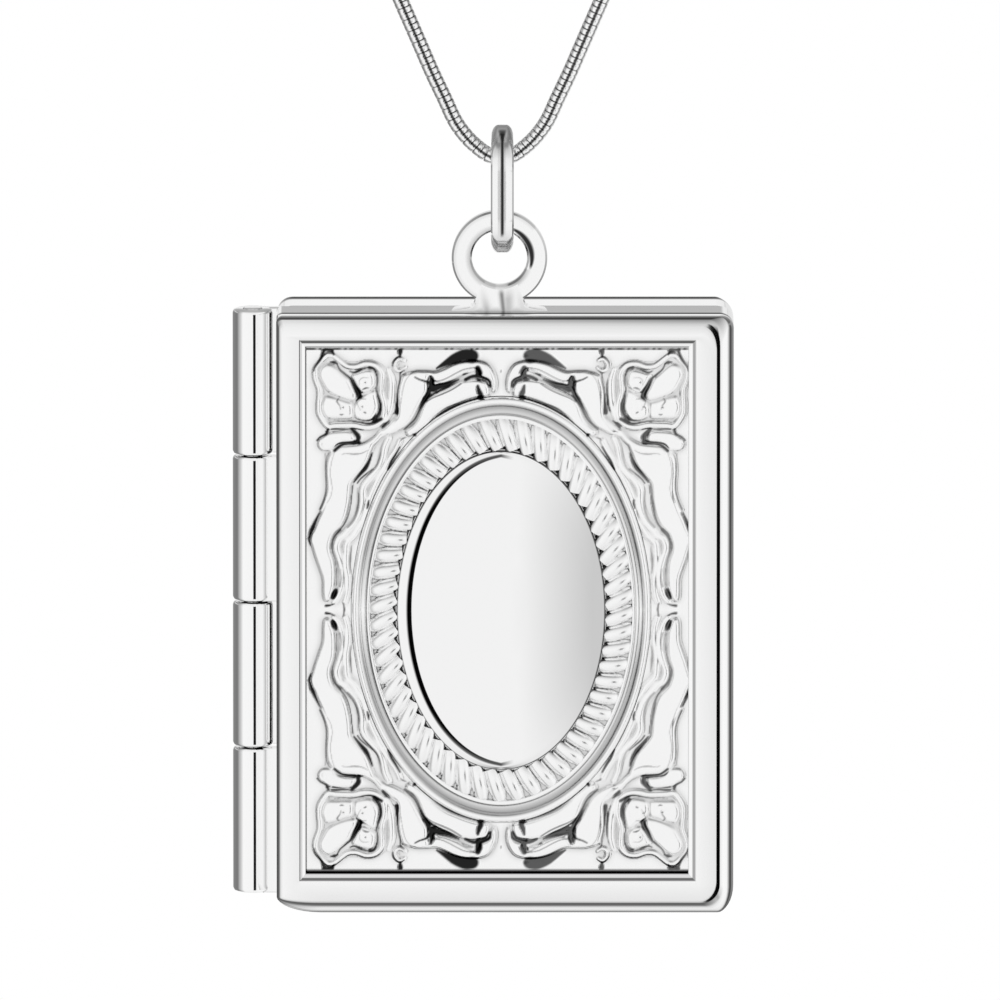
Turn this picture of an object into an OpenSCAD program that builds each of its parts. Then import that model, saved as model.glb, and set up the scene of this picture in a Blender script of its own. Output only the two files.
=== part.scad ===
// Photo locket on a snake chain: hinged silver case with a cast relief front, bail and necklace.
// Millimetres, +Z up. The necklace hangs from the origin, at the back of the neck. The front is -Y.

/* [Chain] */
// Diameter of the snake chain
chain_d = 0.9; // [0.8:0.05:1]
// Length of the clasp at the back of the neck
clasp_l = 9; // [8.5:0.25:9.5]
// Diameter of the clasp
clasp_d = 2.2; // [2:0.1:3]

/* [Bail and eye] */
// Half length of the bail, to the middle of its wire
bail_r = 3; // [2.9:0.05:3.2]
// Radius of the bail's round ends, to the middle of its wire
bail_end_r = 1.7; // [1.68:0.02:1.9]
// Thickness of the bail's wire
bail_wire = 1.3; // [1.1:0.05:1.4]
// Radius of the hanging eye, to the middle of its wire
eye_r = 2.14; // [2.05:0.01:2.3]
// Thickness of the eye's wire
eye_wire = 1.14; // [1:0.02:1.2]
// Height of the eye's centre above the case
eye_rise = 3; // [2.9:0.05:3.2]
// Width of the soldered foot where it meets the case
foot_w = 5.4; // [4.6:0.1:6]

/* [Case] */
// Width of the case, without its hinge
case_w = 25.95; // [25.85:0.05:27]
// Height of the case
case_h = 34.5; // [34.4:0.1:36]
// Depth of each cover
cover_depth = 3.4; // [3.2:0.1:4]
// Thickness of the covers' walls
wall = 0.55; // [0.5:0.05:0.7]
// Radius of the case's corners, seen from the front
corner_r = 1.1; // [1:0.05:1.5]
// Radius of the rounded outer edges
edge_r = 0.75; // [0.5:0.05:0.9]
// Gap between the closed covers
seam = 0.06; // [0.04:0.01:0.1]

/* [Hinge] */
// Diameter of the hinge barrel
barrel_d = 2.3; // [2.1:0.1:2.5]
// Diameter of the hinge pin
pin_d = 1; // [0.8:0.05:1.2]
// Radial play of the pin in its knuckles
pin_play = 0.04; // [0.02:0.01:0.08]
// Knuckles along the barrel
knuckles = 4; // [4:2:6]

/* [Relief] */
// Depth of the recess that holds the relief
recess = 0.75; // [0.6:0.05:0.9]
// Width of the bevel round the recess
bevel_w = 0.35; // [0.2:0.05:0.5]
// Half width of the polished oval
oval_a = 6; // [5.8:0.1:6.2]
// Half height of the polished oval
oval_b = 9.3; // [9:0.1:9.6]
// Strands in the rope round the oval
strands = 56; // [48:2:60]

/* [Hidden] */

// Route of one half of the chain, from the bottom of its V up to the clasp: x, and height above the V.
route = [
    [0, 0], [0.7, 0.15], [1.4, 0.65], [2, 1.25], [2.6, 2.1], [3.2, 3.4], [3.9, 4.9], [4.5, 6.3],
    [5.1, 7.7], [5.7, 9.1], [16, 34], [32, 72.6], [48.3, 112], [50.5, 118.5], [51.9, 125.2],
    [52.3, 132], [51.9, 138.8], [50.5, 145.5], [48.3, 152], [45.3, 158.2], [41.5, 163.8],
    [37, 169], [31.8, 173.5], [26.2, 177.3], [20, 180.3], [13.5, 182.5], [6.8, 183.9],
    [4.9, 184.2], [3.1, 184.2]
];
loop_h = 184.2;
chain_sides = 8;
socket_play = 0.08;
socket_end_x = 3;

// Heights below are above the bottom of the chain's V.
bail_z = -1.8;
eye_z = -5.7;
case_top = eye_z - eye_rise;
case_bottom = case_top - case_h;
case_left = -12.75;
case_right = case_left + case_w;
front_y = -2.6;
part_y = front_y + cover_depth;

hinge_x = case_left - 1.35;
barrel_top = case_top - 0.1;
barrel_l = case_h - 0.8;
knuckle_l = barrel_l / knuckles;
knuckle_gap = 0.08;
leaf_t = 0.6;
leaf_gap = 0.05;

rim_t = 0.3;
rim_h = 0.5;
rim_play = 0.07;
rim_root = 0.7;
slot_t = 0.4;
slot_d = 0.3;

// The recess of the relief, and what stands in it. Levels are measured from the border's face.
recess_left = case_left + 1.3;
recess_right = case_right - 2.2;
recess_top = case_top - 1.45;
recess_bottom = case_bottom + 2;
panel_play = 0.05;
ground = -0.4;
oval_x = 0;
oval_z = (recess_top + recess_bottom) / 2;
oval_growth = 1.2;
round_fn = 96;
frame_out = 2.5;
rope_floor = -0.42;

// The mouldings round the oval. Columns: offset outside the plate's edge, and level.
frame_profile = [
    [0.05, -recess], [frame_out, -recess], [frame_out, -0.3], [2.42, -0.14], [2.28, -0.06],
    [2.14, -0.14], [2.04, -0.3], [1.85, -0.34], [1.66, -0.26], [1.6, -0.12], [1.46, -0.12],
    [1.4, rope_floor], [0.1, rope_floor]
];
frame_steps = 72;
rope_in = 0.12;
rope_out = 1.38;
rope_top = 0.1;
strand_w = 0.98;
strand_lean = -0.75;

// Levels of the polished oval. Columns: offset outside its edge, and level.
plate_levels = [[-0.02, -recess], [-0.02, -0.05], [-0.3, -0.11], [-0.6, -0.165], [-0.9, -0.178]];

// The leaves and curls of one quarter, mirrored to the other three. A row is a curved ridge.
// Columns: start u, start v, bend u, bend v, end u, end v, half width, height.
ridges = [
    [-8.9, 9.5, -8.7, 6.9, -10, 5, 0.72, 0.36],
    [-10, 5.2, -10.7, 3.6, -9.7, 0.8, 0.58, 0.34],
    [-9.4, 9.3, -8.6, 10.4, -6.8, 10.2, 0.34, 0.4],
    [-6.9, 10.1, -8.1, 8.6, -8.1, 6.8, 0.38, 0.28],
    [-8.1, 7, -8.1, 5.4, -9.1, 4, 0.34, 0.26],
    [-9, 4.2, -9.3, 2.6, -9, 1.2, 0.28, 0.24],
    [-5.9, 9.9, -7.2, 8, -7.6, 6.2, 0.38, 0.3],
    [-7.6, 6.4, -8.4, 4.8, -8.6, 2.8, 0.3, 0.26],
    [-6.8, 10.2, -5.8, 11.6, -4.7, 13.7, 0.82, 0.34],
    [-5.3, 13.8, -3.7, 13.3, -2.6, 14.1, 0.36, 0.42],
    [-2.8, 14, -1.1, 14.9, -0.5, 13.7, 0.38, 0.42],
    [-0.5, 13.9, -0.2, 12.8, -1, 12.8, 0.26, 0.36],
    [-5.9, 10.1, -5.2, 11.6, -3.9, 12.3, 0.38, 0.32],
    [-4.1, 12.2, -2.4, 13.6, -1, 13, 0.34, 0.34],
    [-5, 10, -3.9, 11.8, -1.2, 12.6, 0.3, 0.28],
    [-5.9, 13.9, -6.2, 12.3, -6.6, 10.8, 0.24, 0.3],
    [-9.9, 9.7, -8.7, 10.5, -7.3, 10.5, 0.24, 0.28]
];
ridge_steps = 5;

// The flower of one quarter: its base, four lobes, three buds, and the two buds beside it.
// Columns: u and v from its middle, half length, half width, turn, height.
flower_u = -8.5;
flower_v = 12.7;
petals = [
    [0, 0, 2, 1.9, 0, 0.16],
    [-0.8, 0.7, 1.3, 1, 135, 0.34],
    [0.9, 0.8, 1.1, 0.9, 30, 0.32],
    [0.8, -0.8, 1.1, 0.9, -40, 0.32],
    [-0.8, -0.8, 1.1, 0.9, 40, 0.32],
    [0.95, 0.85, 0.4, 0.38, 0, 0.44],
    [0.8, -0.8, 0.42, 0.4, 0, 0.44],
    [-0.8, -0.85, 0.4, 0.4, 0, 0.44],
    [2.7, 1.5, 0.42, 0.42, 0, 0.36],
    [-1.6, -3, 0.42, 0.42, 0, 0.36]
];
petal_sides = 10;

function col_start(r) = [r[0], r[1]];
function col_bend(r) = [r[2], r[3]];
function col_end(r) = [r[4], r[5]];
function bend_at(r, t) =
    (1 - t) * (1 - t) * col_start(r) + 2 * t * (1 - t) * col_bend(r) + t * t * col_end(r);
function bend_way(r, t) =
    (1 - t) * (col_bend(r) - col_start(r)) + t * (col_end(r) - col_bend(r));
function unit2(v) = v / norm(v);
function left_of(v) = [-v[1], v[0]];

// Distance round the middle of the rope against the angle, to space the strands evenly.
arc_steps = 180;
function arc_step(i) = norm(on_oval(360 * (i + 1) / arc_steps, rope_out / 2)
                            - on_oval(360 * i / arc_steps, rope_out / 2));
arcs = [for (i = 0, s = 0; i <= arc_steps; s = s + arc_step(i), i = i + 1) [s, 360 * i / arc_steps]];
function angle_at(k) =
    let (turn = k / strands - floor(k / strands))
    lookup(turn * arcs[arc_steps][0], arcs);
function taper(t) = 0.25 + 0.75 * sin(180 * (0.12 + 0.76 * t));

// Faces of a closed tube of point rings, with a flat face at each end. Seen from the last ring,
// each ring runs clockwise.
function tube_faces(rings, sides) = concat(
    [[for (i = [sides - 1:-1:0]) i]],
    [for (j = [0:rings - 2], i = [0:sides - 1])
        let (k = (i + 1) % sides)
        [j * sides + i, j * sides + k, (j + 1) * sides + k, (j + 1) * sides + i]],
    [[for (i = [0:sides - 1]) (rings - 1) * sides + i]]
);

// Faces of a ring-shaped tube, whose last ring of points joins the first.
function torus_faces(rings, sides) =
    [for (j = [0:rings - 1], i = [0:sides - 1])
        let (k = (i + 1) % sides, n = (j + 1) % rings)
        [j * sides + i, j * sides + k, n * sides + k, n * sides + i]];

// Cross-section of a ridge, as offset across it and height, both as parts of one.
ridge_section = [[-1, -0.3], [-0.72, 0.6], [0, 1], [0.72, 0.6], [1, -0.3]];

module ridge(r) {
    points = [
        for (j = [0:ridge_steps])
            let (t = j / ridge_steps, p = bend_at(r, t), n = left_of(unit2(bend_way(r, t))))
            for (s = ridge_section)
                let (q = p + n * s[0] * r[6] * taper(t))
                [q[0], q[1], ground + r[7] * s[1] * (s[1] > 0 ? taper(t) : 1)]
    ];
    polyhedron(points, tube_faces(ridge_steps + 1, len(ridge_section)), convexity = 4);
}

// A low dome, with its foot a little below the ground.
module petal(p) {
    levels = [[1, -0.12], [0.92, 0.45 * p[5]], [0.6, 0.85 * p[5]], [0.2, p[5]]];
    points = [
        for (l = levels, i = [0:petal_sides - 1])
            let (a = -360 * i / petal_sides, u = l[0] * p[2] * cos(a), v = l[0] * p[3] * sin(a))
            [flower_u + p[0] + u * cos(p[4]) - v * sin(p[4]),
             flower_v + p[1] + u * sin(p[4]) + v * cos(p[4]),
             ground + l[1]]
    ];
    polyhedron(points, tube_faces(len(levels), petal_sides), convexity = 2);
}

// A point on the oval that lies a given distance outside the polished plate.
function on_oval(a, out) = [(oval_a + out) * cos(a), (oval_b + oval_growth * out) * sin(a)];

// A moulding that runs round the oval. Its profile is in offset from the plate and height.
module oval_moulding(profile, steps) {
    points = [
        for (j = [0:steps - 1], p = profile)
            let (q = on_oval(360 * j / steps, p[0]))
            [q[0], q[1], p[1]]
    ];
    polyhedron(points, torus_faces(steps, len(profile)), convexity = 6);
}

// Puts what is drawn flat, with height up, on the upright front of the case.
module on_front(x, z) {
    translate([x, front_y, z]) rotate([90, 0, 0]) children();
}

// Lifts a piece of the pendant from its own heights to the necklace's frame.
module below_chain() {
    translate([0, 0, -loop_h]) children();
}

module ring(middle_r, wire) {
    rotate_extrude($fn = round_fn) translate([middle_r, 0]) circle(d = wire, $fn = 32);
}

module snake_chain() {
    half = route;
    whole = concat(
        [for (i = [len(half) - 1:-1:1]) [-half[i][0], half[i][1]]],
        half
    );
    count = len(whole);
    way = [for (i = [0:count - 1])
        unit2(whole[min(i + 1, count - 1)] - whole[max(i - 1, 0)])];
    points = [
        for (i = [0:count - 1], s = [0:chain_sides - 1])
            let (a = 360 * (s + 0.5) / chain_sides, r = chain_d / 2, side = left_of(way[i]))
            [whole[i][0] + side[0] * r * cos(a), r * sin(a), whole[i][1] + side[1] * r * cos(a)]
    ];
    color("gainsboro")
    below_chain() polyhedron(points, tube_faces(count, chain_sides), convexity = 10);
}

module clasp() {
    socket_d = chain_d + 2 * socket_play;
    socket_l = clasp_l / 2 - socket_end_x;
    color("silver")
    rotate([0, 90, 0])
    difference() {
        union() {
            cylinder(h = clasp_l, d = clasp_d - 0.4, center = true, $fn = round_fn);
            cylinder(h = clasp_l - 1.2, d = clasp_d, center = true, $fn = round_fn);
        }
        for (side = [-1, 1])
            translate([0, 0, side * (socket_end_x + socket_l)])
                cylinder(h = 2 * socket_l, d = socket_d, center = true, $fn = round_fn);
    }
}

module bail() {
    color("silver")
    below_chain() translate([0, 0, bail_z]) rotate([0, 90, 0])
        long_ring(bail_r, bail_end_r, bail_wire);
}

// A ring with two straight sides and round ends, long along X.
module long_ring(half_l, end_r, wire) {
    run = half_l - end_r;
    for (side = [0, 180])
        rotate([0, 0, side]) {
            translate([run, 0, 0]) rotate([0, 0, -90])
                rotate_extrude(angle = 180, $fn = round_fn)
                    translate([end_r, 0]) circle(d = wire, $fn = 32);
            translate([0, end_r, 0]) rotate([0, 90, 0])
                cylinder(h = 2 * run, d = wire, center = true, $fn = 32);
        }
}

// The eye with its solder foot, which flares out to the top of the case.
module hanging_eye() {
    flare_r = 1.1;
    foot_h = 2.1;
    foot_t = eye_wire - 0.1;
    translate([0, 0, eye_z]) rotate([90, 0, 0]) ring(eye_r, eye_wire);
    translate([0, 0, case_top]) rotate([90, 0, 0])
        linear_extrude(height = foot_t, center = true)
            difference() {
                translate([-foot_w / 2, -0.3]) square([foot_w, foot_h + 0.3]);
                for (side = [-1, 1])
                    translate([side * foot_w / 2, flare_r + 0.06]) circle(r = flare_r, $fn = round_fn);
                for (side = [-1, 1])
                    translate([side * foot_w / 2, flare_r + 0.06 + 1])
                        square([2 * flare_r, 2], center = true);
                translate([0, eye_rise]) circle(r = eye_r - eye_wire / 4, $fn = round_fn);
            }
}

// Section of a cover from its open side, at 0, to its outer face, with the outer edges rounded.
module cover_section(low, high, round_low) {
    depth = cover_depth - seam / 2;
    difference() {
        translate([0, low]) square([depth, high - low]);
        edge_cut(depth, high, -1);
        if (round_low) edge_cut(depth, low, 1);
    }
}

module edge_cut(depth, at, side) {
    difference() {
        translate([depth - edge_r, side > 0 ? at - 1 : at - edge_r]) square([edge_r + 1, edge_r + 1]);
        translate([depth - edge_r, at + side * edge_r]) circle(r = edge_r, $fn = round_fn);
    }
}

// The solid block of a cover, open side at y = 0, outer face towards -Y, corners at the right rounded.
module cover_block() {
    inner_top = case_top - corner_r;
    inner_bottom = case_bottom + corner_r;
    inner_right = case_right - corner_r;
    depth = cover_depth - seam / 2;
    intersection() {
        union() {
            translate([case_left, 0, 0]) rotate([90, 0, 90]) mirror([1, 0, 0])
                linear_extrude(height = inner_right - case_left)
                    cover_section(case_bottom, case_top, true);
            translate([0, 0, inner_bottom]) rotate([0, 0, -90])
                linear_extrude(height = inner_top - inner_bottom)
                    cover_section(inner_right - 1, case_right, false);
            for (spot = [[inner_top, 0], [inner_bottom, -90]])
                translate([inner_right, 0, spot[0]]) rotate([90, 0, 0]) rotate([0, 0, spot[1]])
                    rotate_extrude(angle = 90, $fn = round_fn) mirror([1, -1])
                        cover_section(0, corner_r, false);
        }
        rotate([90, 0, 0]) linear_extrude(height = depth) {
            translate([case_left + corner_r, case_bottom]) square([case_w, case_h]);
            translate([case_left, inner_bottom]) square([case_w, inner_top - inner_bottom]);
            for (z = [inner_bottom, inner_top])
                translate([case_left + corner_r, z]) circle(r = corner_r, $fn = round_fn);
        }
    }
}

// The hollow for a picture: an open well, and a slot at its floor that the picture's edge slides into.
module picture_well(floor_t) {
    depth = cover_depth - seam / 2 - floor_t;
    w = case_w - 2 * wall;
    h = case_h - 2 * wall;
    lip = 0.9;
    translate([case_left + wall, -depth, case_bottom + wall])
        cube([w, slot_t, h]);
    translate([case_left + wall + lip, -depth, case_bottom + wall + lip])
        cube([w - 2 * lip, depth + 1, h - 2 * lip]);
    translate([case_left + wall, -depth + slot_t + slot_d, case_bottom + wall])
        cube([w, depth + 1, h]);
}

module knuckle(index) {
    top = barrel_top - index * knuckle_l - knuckle_gap / 2;
    translate([0, 0, top - knuckle_l + knuckle_gap])
        cylinder(h = knuckle_l - knuckle_gap, d = barrel_d, $fn = round_fn);
}

// Every second knuckle of the barrel, each with a leaf to its cover on the side that is given.
module knuckle_row(first, side) {
    reach = case_left - hinge_x + wall / 2;
    translate([hinge_x, 0, 0])
    difference() {
        union() {
            for (i = [first:2:knuckles - 1]) {
                knuckle(i);
                translate([barrel_d / 4, side > 0 ? leaf_gap : -leaf_gap - leaf_t,
                           barrel_top - (i + 1) * knuckle_l + knuckle_gap / 2])
                    cube([reach - barrel_d / 4, leaf_t, knuckle_l - knuckle_gap]);
            }
        }
        translate([0, 0, barrel_top - barrel_l - 1])
            cylinder(h = barrel_l + 2, r = pin_d / 2 + pin_play, $fn = round_fn);
    }
}

// A sloped opening whose sides spread towards the outer face.
module bevelled_recess() {
    depth = recess;
    flat = -ground;
    spread = bevel_w;
    intersection() {
        rotate([90, 0, 90]) linear_extrude(height = 4 * case_w, center = true)
            polygon([
                [front_y - 1, recess_bottom], [front_y, recess_bottom],
                [front_y + flat, recess_bottom + spread], [front_y + depth, recess_bottom + spread],
                [front_y + depth, recess_top - spread], [front_y + flat, recess_top - spread],
                [front_y, recess_top], [front_y - 1, recess_top]
            ]);
        translate([0, 0, 2 * case_bottom]) linear_extrude(height = 3 * case_h)
            polygon([
                [recess_left, front_y - 1], [recess_left, front_y],
                [recess_left + spread, front_y + flat], [recess_left + spread, front_y + depth],
                [recess_right - spread, front_y + depth], [recess_right - spread, front_y + flat],
                [recess_right, front_y], [recess_right, front_y - 1]
            ]);
    }
}

module front_cover() {
    color("silver")
    below_chain() {
        difference() {
            translate([0, part_y - seam / 2, 0]) cover_block();
            bevelled_recess();
            translate([0, part_y - seam / 2, 0]) picture_well(recess + wall);
        }
        hanging_eye();
        translate([0, part_y, 0]) knuckle_row(1, -1);
    }
}

// The rim that snaps into the front cover, along the three sides away from the hinge.
module snap_rim() {
    rim_band(wall + rim_play, part_y - rim_h, part_y + seam);
    rim_band(wall / 2, part_y + seam, part_y + rim_root);
}

// One step of the rim: three bars, set in from the case's sides, between two depths.
module rim_band(inset, near, far) {
    left = case_left + wall + 1.2;
    right = case_right - inset;
    low = case_bottom + inset;
    high = case_top - inset;
    bar = wall + rim_play + rim_t - inset;
    translate([right - bar, near, low]) cube([bar, far - near, high - low]);
    for (z = [low, high - bar])
        translate([left, near, z]) cube([right - left, far - near, bar]);
}

module back_cover() {
    color("silver")
    below_chain() {
        difference() {
            translate([0, part_y + seam / 2, 0]) mirror([0, 1, 0]) cover_block();
            translate([0, part_y + seam / 2, 0]) mirror([0, 1, 0]) picture_well(wall);
        }
        snap_rim();
        translate([0, part_y, 0]) knuckle_row(0, 1);
    }
}

module hinge_pin() {
    color("gainsboro")
    below_chain()
        translate([hinge_x, part_y, barrel_top - barrel_l])
            cylinder(h = barrel_l, d = pin_d, $fn = round_fn);
}

module relief_panel() {
    inset = bevel_w + panel_play;
    left = recess_left + inset;
    right = recess_right - inset;
    low = recess_bottom + inset;
    high = recess_top - inset;
    color("gainsboro")
    below_chain() on_front(oval_x, oval_z)
    difference() {
        union() {
            translate([left, low - oval_z, -recess])
                cube([right - left, high - low, recess + ground]);
            intersection() {
                translate([left, low - oval_z, -recess]) cube([right - left, high - low, 2 * recess]);
                for (su = [0, 1], sv = [0, 1])
                    mirror([su, 0, 0]) mirror([0, sv, 0]) {
                        for (r = ridges) ridge(r);
                        for (p = petals) petal(p);
                    }
            }
        }
        translate([0, 0, -recess - 1])
            linear_extrude(height = recess + 3)
                polygon([for (i = [0:frame_steps - 1])
                    on_oval(360 * i / frame_steps, frame_out + panel_play)]);
    }
}

module rope_frame() {
    color("silver")
    below_chain() on_front(oval_x, oval_z) {
        oval_moulding(frame_profile, frame_steps);
        for (i = [0:strands - 1]) strand(i);
    }
}

// One turn of the rope. Its inner end is a little further round than its outer end.
module strand(i) {
    inner = on_oval(angle_at(i + strand_lean), rope_in);
    outer = on_oval(angle_at(i), rope_out);
    points = [
        for (t = [0, 0.22, 0.5, 0.78, 1])
            let (q = inner + t * (outer - inner), n = left_of(unit2(outer - inner)),
                 swell = sin(180 * (0.1 + 0.8 * t)))
            for (s = ridge_section)
                let (m = q + n * s[0] * strand_w / 2 * (0.6 + 0.4 * swell))
                [m[0], m[1], rope_floor + (rope_top - rope_floor) * s[1] * (s[1] > 0 ? swell : 1)]
    ];
    polyhedron(points, tube_faces(5, len(ridge_section)), convexity = 4);
}

// The polished oval: a raised edge that slopes in to a flat middle.
module oval_plate() {
    points = [
        for (l = plate_levels, i = [0:frame_steps - 1])
            let (q = on_oval(-360 * i / frame_steps, l[0]))
            [q[0], q[1], l[1]]
    ];
    color("whitesmoke")
    below_chain() on_front(oval_x, oval_z)
        polyhedron(points, tube_faces(len(plate_levels), frame_steps), convexity = 2);
}

snake_chain();
clasp();
bail();
front_cover();
relief_panel();
rope_frame();
oval_plate();
back_cover();
hinge_pin();
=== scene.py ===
"""Photo locket on a snake chain: its fine shapes, its silver, and the light tent it is pictured in.

Lengths in the tables are millimetres and angles are degrees. Heights are above the bottom of the
chain's V, as the maker measures the pendant; `spot` turns them into the necklace's own frame, in
metres. Darkness is painted shade and painted reflection in the silver's colour, from 0 to 1.
"""

import logging
import math
from collections.abc import Callable, Sequence
from dataclasses import dataclass, field
from enum import Enum
from functools import cached_property

import bmesh
import bpy
import numpy as np
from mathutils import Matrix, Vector


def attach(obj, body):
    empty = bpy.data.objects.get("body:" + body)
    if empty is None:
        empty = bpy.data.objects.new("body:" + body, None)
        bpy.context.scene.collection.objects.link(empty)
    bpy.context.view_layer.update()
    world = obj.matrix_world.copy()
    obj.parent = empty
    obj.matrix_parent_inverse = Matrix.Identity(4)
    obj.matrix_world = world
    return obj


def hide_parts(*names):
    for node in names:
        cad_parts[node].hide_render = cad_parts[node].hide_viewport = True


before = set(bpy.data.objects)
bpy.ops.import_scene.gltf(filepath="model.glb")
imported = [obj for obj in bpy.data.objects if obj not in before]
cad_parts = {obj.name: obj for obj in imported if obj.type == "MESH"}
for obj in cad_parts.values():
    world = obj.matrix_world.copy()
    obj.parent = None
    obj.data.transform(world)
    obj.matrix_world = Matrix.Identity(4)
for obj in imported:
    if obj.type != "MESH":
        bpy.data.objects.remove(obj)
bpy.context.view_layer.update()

log = logging.getLogger("locket")

MM = 0.001
LOOP_H = 184.2
FULL_TURN = 2 * math.pi
WELD = 1e-7
FINE_WELD = 1e-8
FINEST_WELD = 1e-9
# Name of the mesh attribute that holds the painted shade and painted reflections, from 0 to 1.
PAINTED_SHADE = "hollow"
MARK_DEPTH = 0.02
FRONT_STEPS = 24

Sides = tuple[float, float, float, float]
Corners = tuple[tuple[float, float], ...]
Rows = tuple[tuple[float, ...], ...]


class Body(Enum):
    """The parts that move on their own."""

    NECKLACE = "necklace"
    BAIL = "bail"
    FRONT = "front"
    BACK = "back"


class Slot(Enum):
    """The finishes that the record names."""

    CHAIN = "silver_chain"
    POLISHED = "silver_polished"
    CAST = "silver_cast"
    MIRROR = "silver_mirror"


def spot(x: float, y: float, z: float) -> Vector:
    """Place a point of the pendant in the necklace's frame.

    Args:
        x: To the right, in millimetres.
        y: Away from the viewer, in millimetres.
        z: Above the bottom of the chain's V, in millimetres.

    Returns:
        The point in metres.
    """
    return Vector((x * MM, y * MM, (z - LOOP_H) * MM))


def mix(a: float, b: float, t: float) -> float:
    """Return the value t of the way from a to b."""
    return a + (b - a) * t


def clamp(value: float) -> float:
    """Return the value, kept between zero and one."""
    return min(max(value, 0), 1)


def bell(distance: float, wide: float) -> float:
    """Return one at no distance, falling softly towards zero beyond the given width."""
    return math.exp(-((distance / wide) ** 2))


def sheet(bm: bmesh.types.BMesh, across: int, along: int, place: Callable[[int, int], Vector],
          shade: Callable[[int, int], float] | None = None) -> None:
    """Add a grid and move each of its points to its place.

    Args:
        bm: The mesh to add to.
        across: Steps in the first direction.
        along: Steps in the second direction.
        place: Gives the point for a pair of step numbers.
        shade: Gives the painted shade for a pair of step numbers.
    """
    layer = bm.verts.layers.float.get(PAINTED_SHADE) or bm.verts.layers.float.new(PAINTED_SHADE)
    made = bmesh.ops.create_grid(bm, x_segments=across, y_segments=along, size=0.5)
    for vert in made["verts"]:
        i = round((vert.co.x + 0.5) * across)
        j = round((vert.co.y + 0.5) * along)
        vert.co = place(i, j)
        if shade:
            vert[layer] = shade(i, j)


def lathe(bm: bmesh.types.BMesh, profile: Sequence[Vector], centre: Vector, axis: Vector,
          steps: int) -> None:
    """Turn a closed profile once round an axis.

    Args:
        bm: The mesh to add to.
        profile: Corners of the section, in order, in metres.
        centre: A point on the axis.
        axis: Direction of the axis.
        steps: Steps of the full turn.
    """
    verts = [bm.verts.new(point) for point in profile]
    edges = [bm.edges.new((a, b)) for a, b in zip(verts, verts[1:] + verts[:1])]
    bmesh.ops.spin(bm, geom=verts + edges, cent=centre, axis=axis, angle=FULL_TURN, steps=steps,
                   use_merge=True)


def close_holes(bm: bmesh.types.BMesh) -> None:
    """Close each open end with a face."""
    rims = [edge for edge in bm.edges if edge.is_boundary]
    if rims:
        bmesh.ops.holes_fill(bm, edges=rims, sides=0)


def weld(bm: bmesh.types.BMesh, closed: bool = True, reach: float = WELD) -> None:
    """Join points that lie on one another.

    Args:
        bm: The mesh.
        closed: Whether each end that is left open gets a face.
        reach: Distance within which points become one, in metres.
    """
    bmesh.ops.remove_doubles(bm, verts=bm.verts[:], dist=reach)
    if closed:
        close_holes(bm)


def join(bm: bmesh.types.BMesh, part: bmesh.types.BMesh) -> None:
    """Add a part to a mesh, with its faces turned outward. The part is used up."""
    bmesh.ops.recalc_face_normals(part, faces=part.faces[:])
    mesh = bpy.data.meshes.new("part")
    part.to_mesh(mesh)
    part.free()
    bm.from_mesh(mesh)
    bpy.data.meshes.remove(mesh)


def soften_edges(bm: bmesh.types.BMesh, edges: Sequence[bmesh.types.BMEdge], width: float,
                 steps: int = 2) -> None:
    """Round some edges off, by a width in millimetres."""
    bmesh.ops.bevel(bm, geom=edges, offset=width * MM, segments=steps, profile=0.5,
                    affect="EDGES", material=-1)


def box(bm: bmesh.types.BMesh, x: tuple[float, float], y: tuple[float, float],
        z: tuple[float, float], soft: float) -> None:
    """Add a box with softened edges.

    Args:
        bm: The mesh to add to.
        x: Its two ends from left to right.
        y: Its two ends in depth.
        z: Its two ends in height.
        soft: Width of the softened edges.
    """
    part = bmesh.new()
    for vert in bmesh.ops.create_cube(part, size=1.0)["verts"]:
        vert.co = spot(x[vert.co.x > 0], y[vert.co.y > 0], z[vert.co.z > 0])
    soften_edges(part, part.edges[:], soft)
    join(bm, part)


def wire_section(half: float, flat: float, turns: int) -> list[tuple[float, float]]:
    """Give the section of a wire with a flat front, cut edges and a round back.

    Args:
        half: Half of the wire's thickness.
        flat: Half of the flat's width.
        turns: Steps round the back.

    Returns:
        The section's points, to the right and forward.
    """
    front = [(mix(-flat, flat, k / FRONT_STEPS), half) for k in range(FRONT_STEPS + 1)]
    back = [(half * math.cos(a), -half * math.sin(a))
            for a in (math.radians(180 * k / turns) for k in range(turns + 1))]
    return front + [(half, flat)] + back + [(-half, flat)]


def calculate(tree: bpy.types.NodeTree, operation: str, *values: float | bpy.types.NodeSocket,
              vector: bool = False, limited: bool = False) -> bpy.types.NodeSocket:
    """Add a node that calculates.

    Args:
        tree: The node tree to add to.
        operation: The calculation.
        values: What goes in: numbers, or what other nodes put out.
        vector: Whether it works on vectors.
        limited: Whether the result is kept between zero and one.

    Returns:
        What the node puts out.
    """
    node = tree.nodes.new("ShaderNodeVectorMath" if vector else "ShaderNodeMath")
    node.operation = operation
    if limited:
        node.use_clamp = True
    for socket, value in zip(node.inputs, values):
        if isinstance(value, (int, float)):
            socket.default_value = value
        else:
            tree.links.new(value, socket)
    return node.outputs["Vector" if vector else "Value"]


def noise(tree: bpy.types.NodeTree, where: bpy.types.NodeSocket, detail: float,
          scale: float | bpy.types.NodeSocket) -> bpy.types.NodeSocket:
    """Add a noise pattern.

    Args:
        tree: The node tree to add to.
        where: The position that it is read at.
        detail: How many finer layers it has.
        scale: Its size, in marks for each metre.

    Returns:
        The pattern's values.
    """
    node = tree.nodes.new("ShaderNodeTexNoise")
    node.inputs["Detail"].default_value = detail
    tree.links.new(where, node.inputs["Vector"])
    if isinstance(scale, float):
        node.inputs["Scale"].default_value = scale
    else:
        tree.links.new(scale, node.inputs["Scale"])
    return node.outputs["Fac"]


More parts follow.
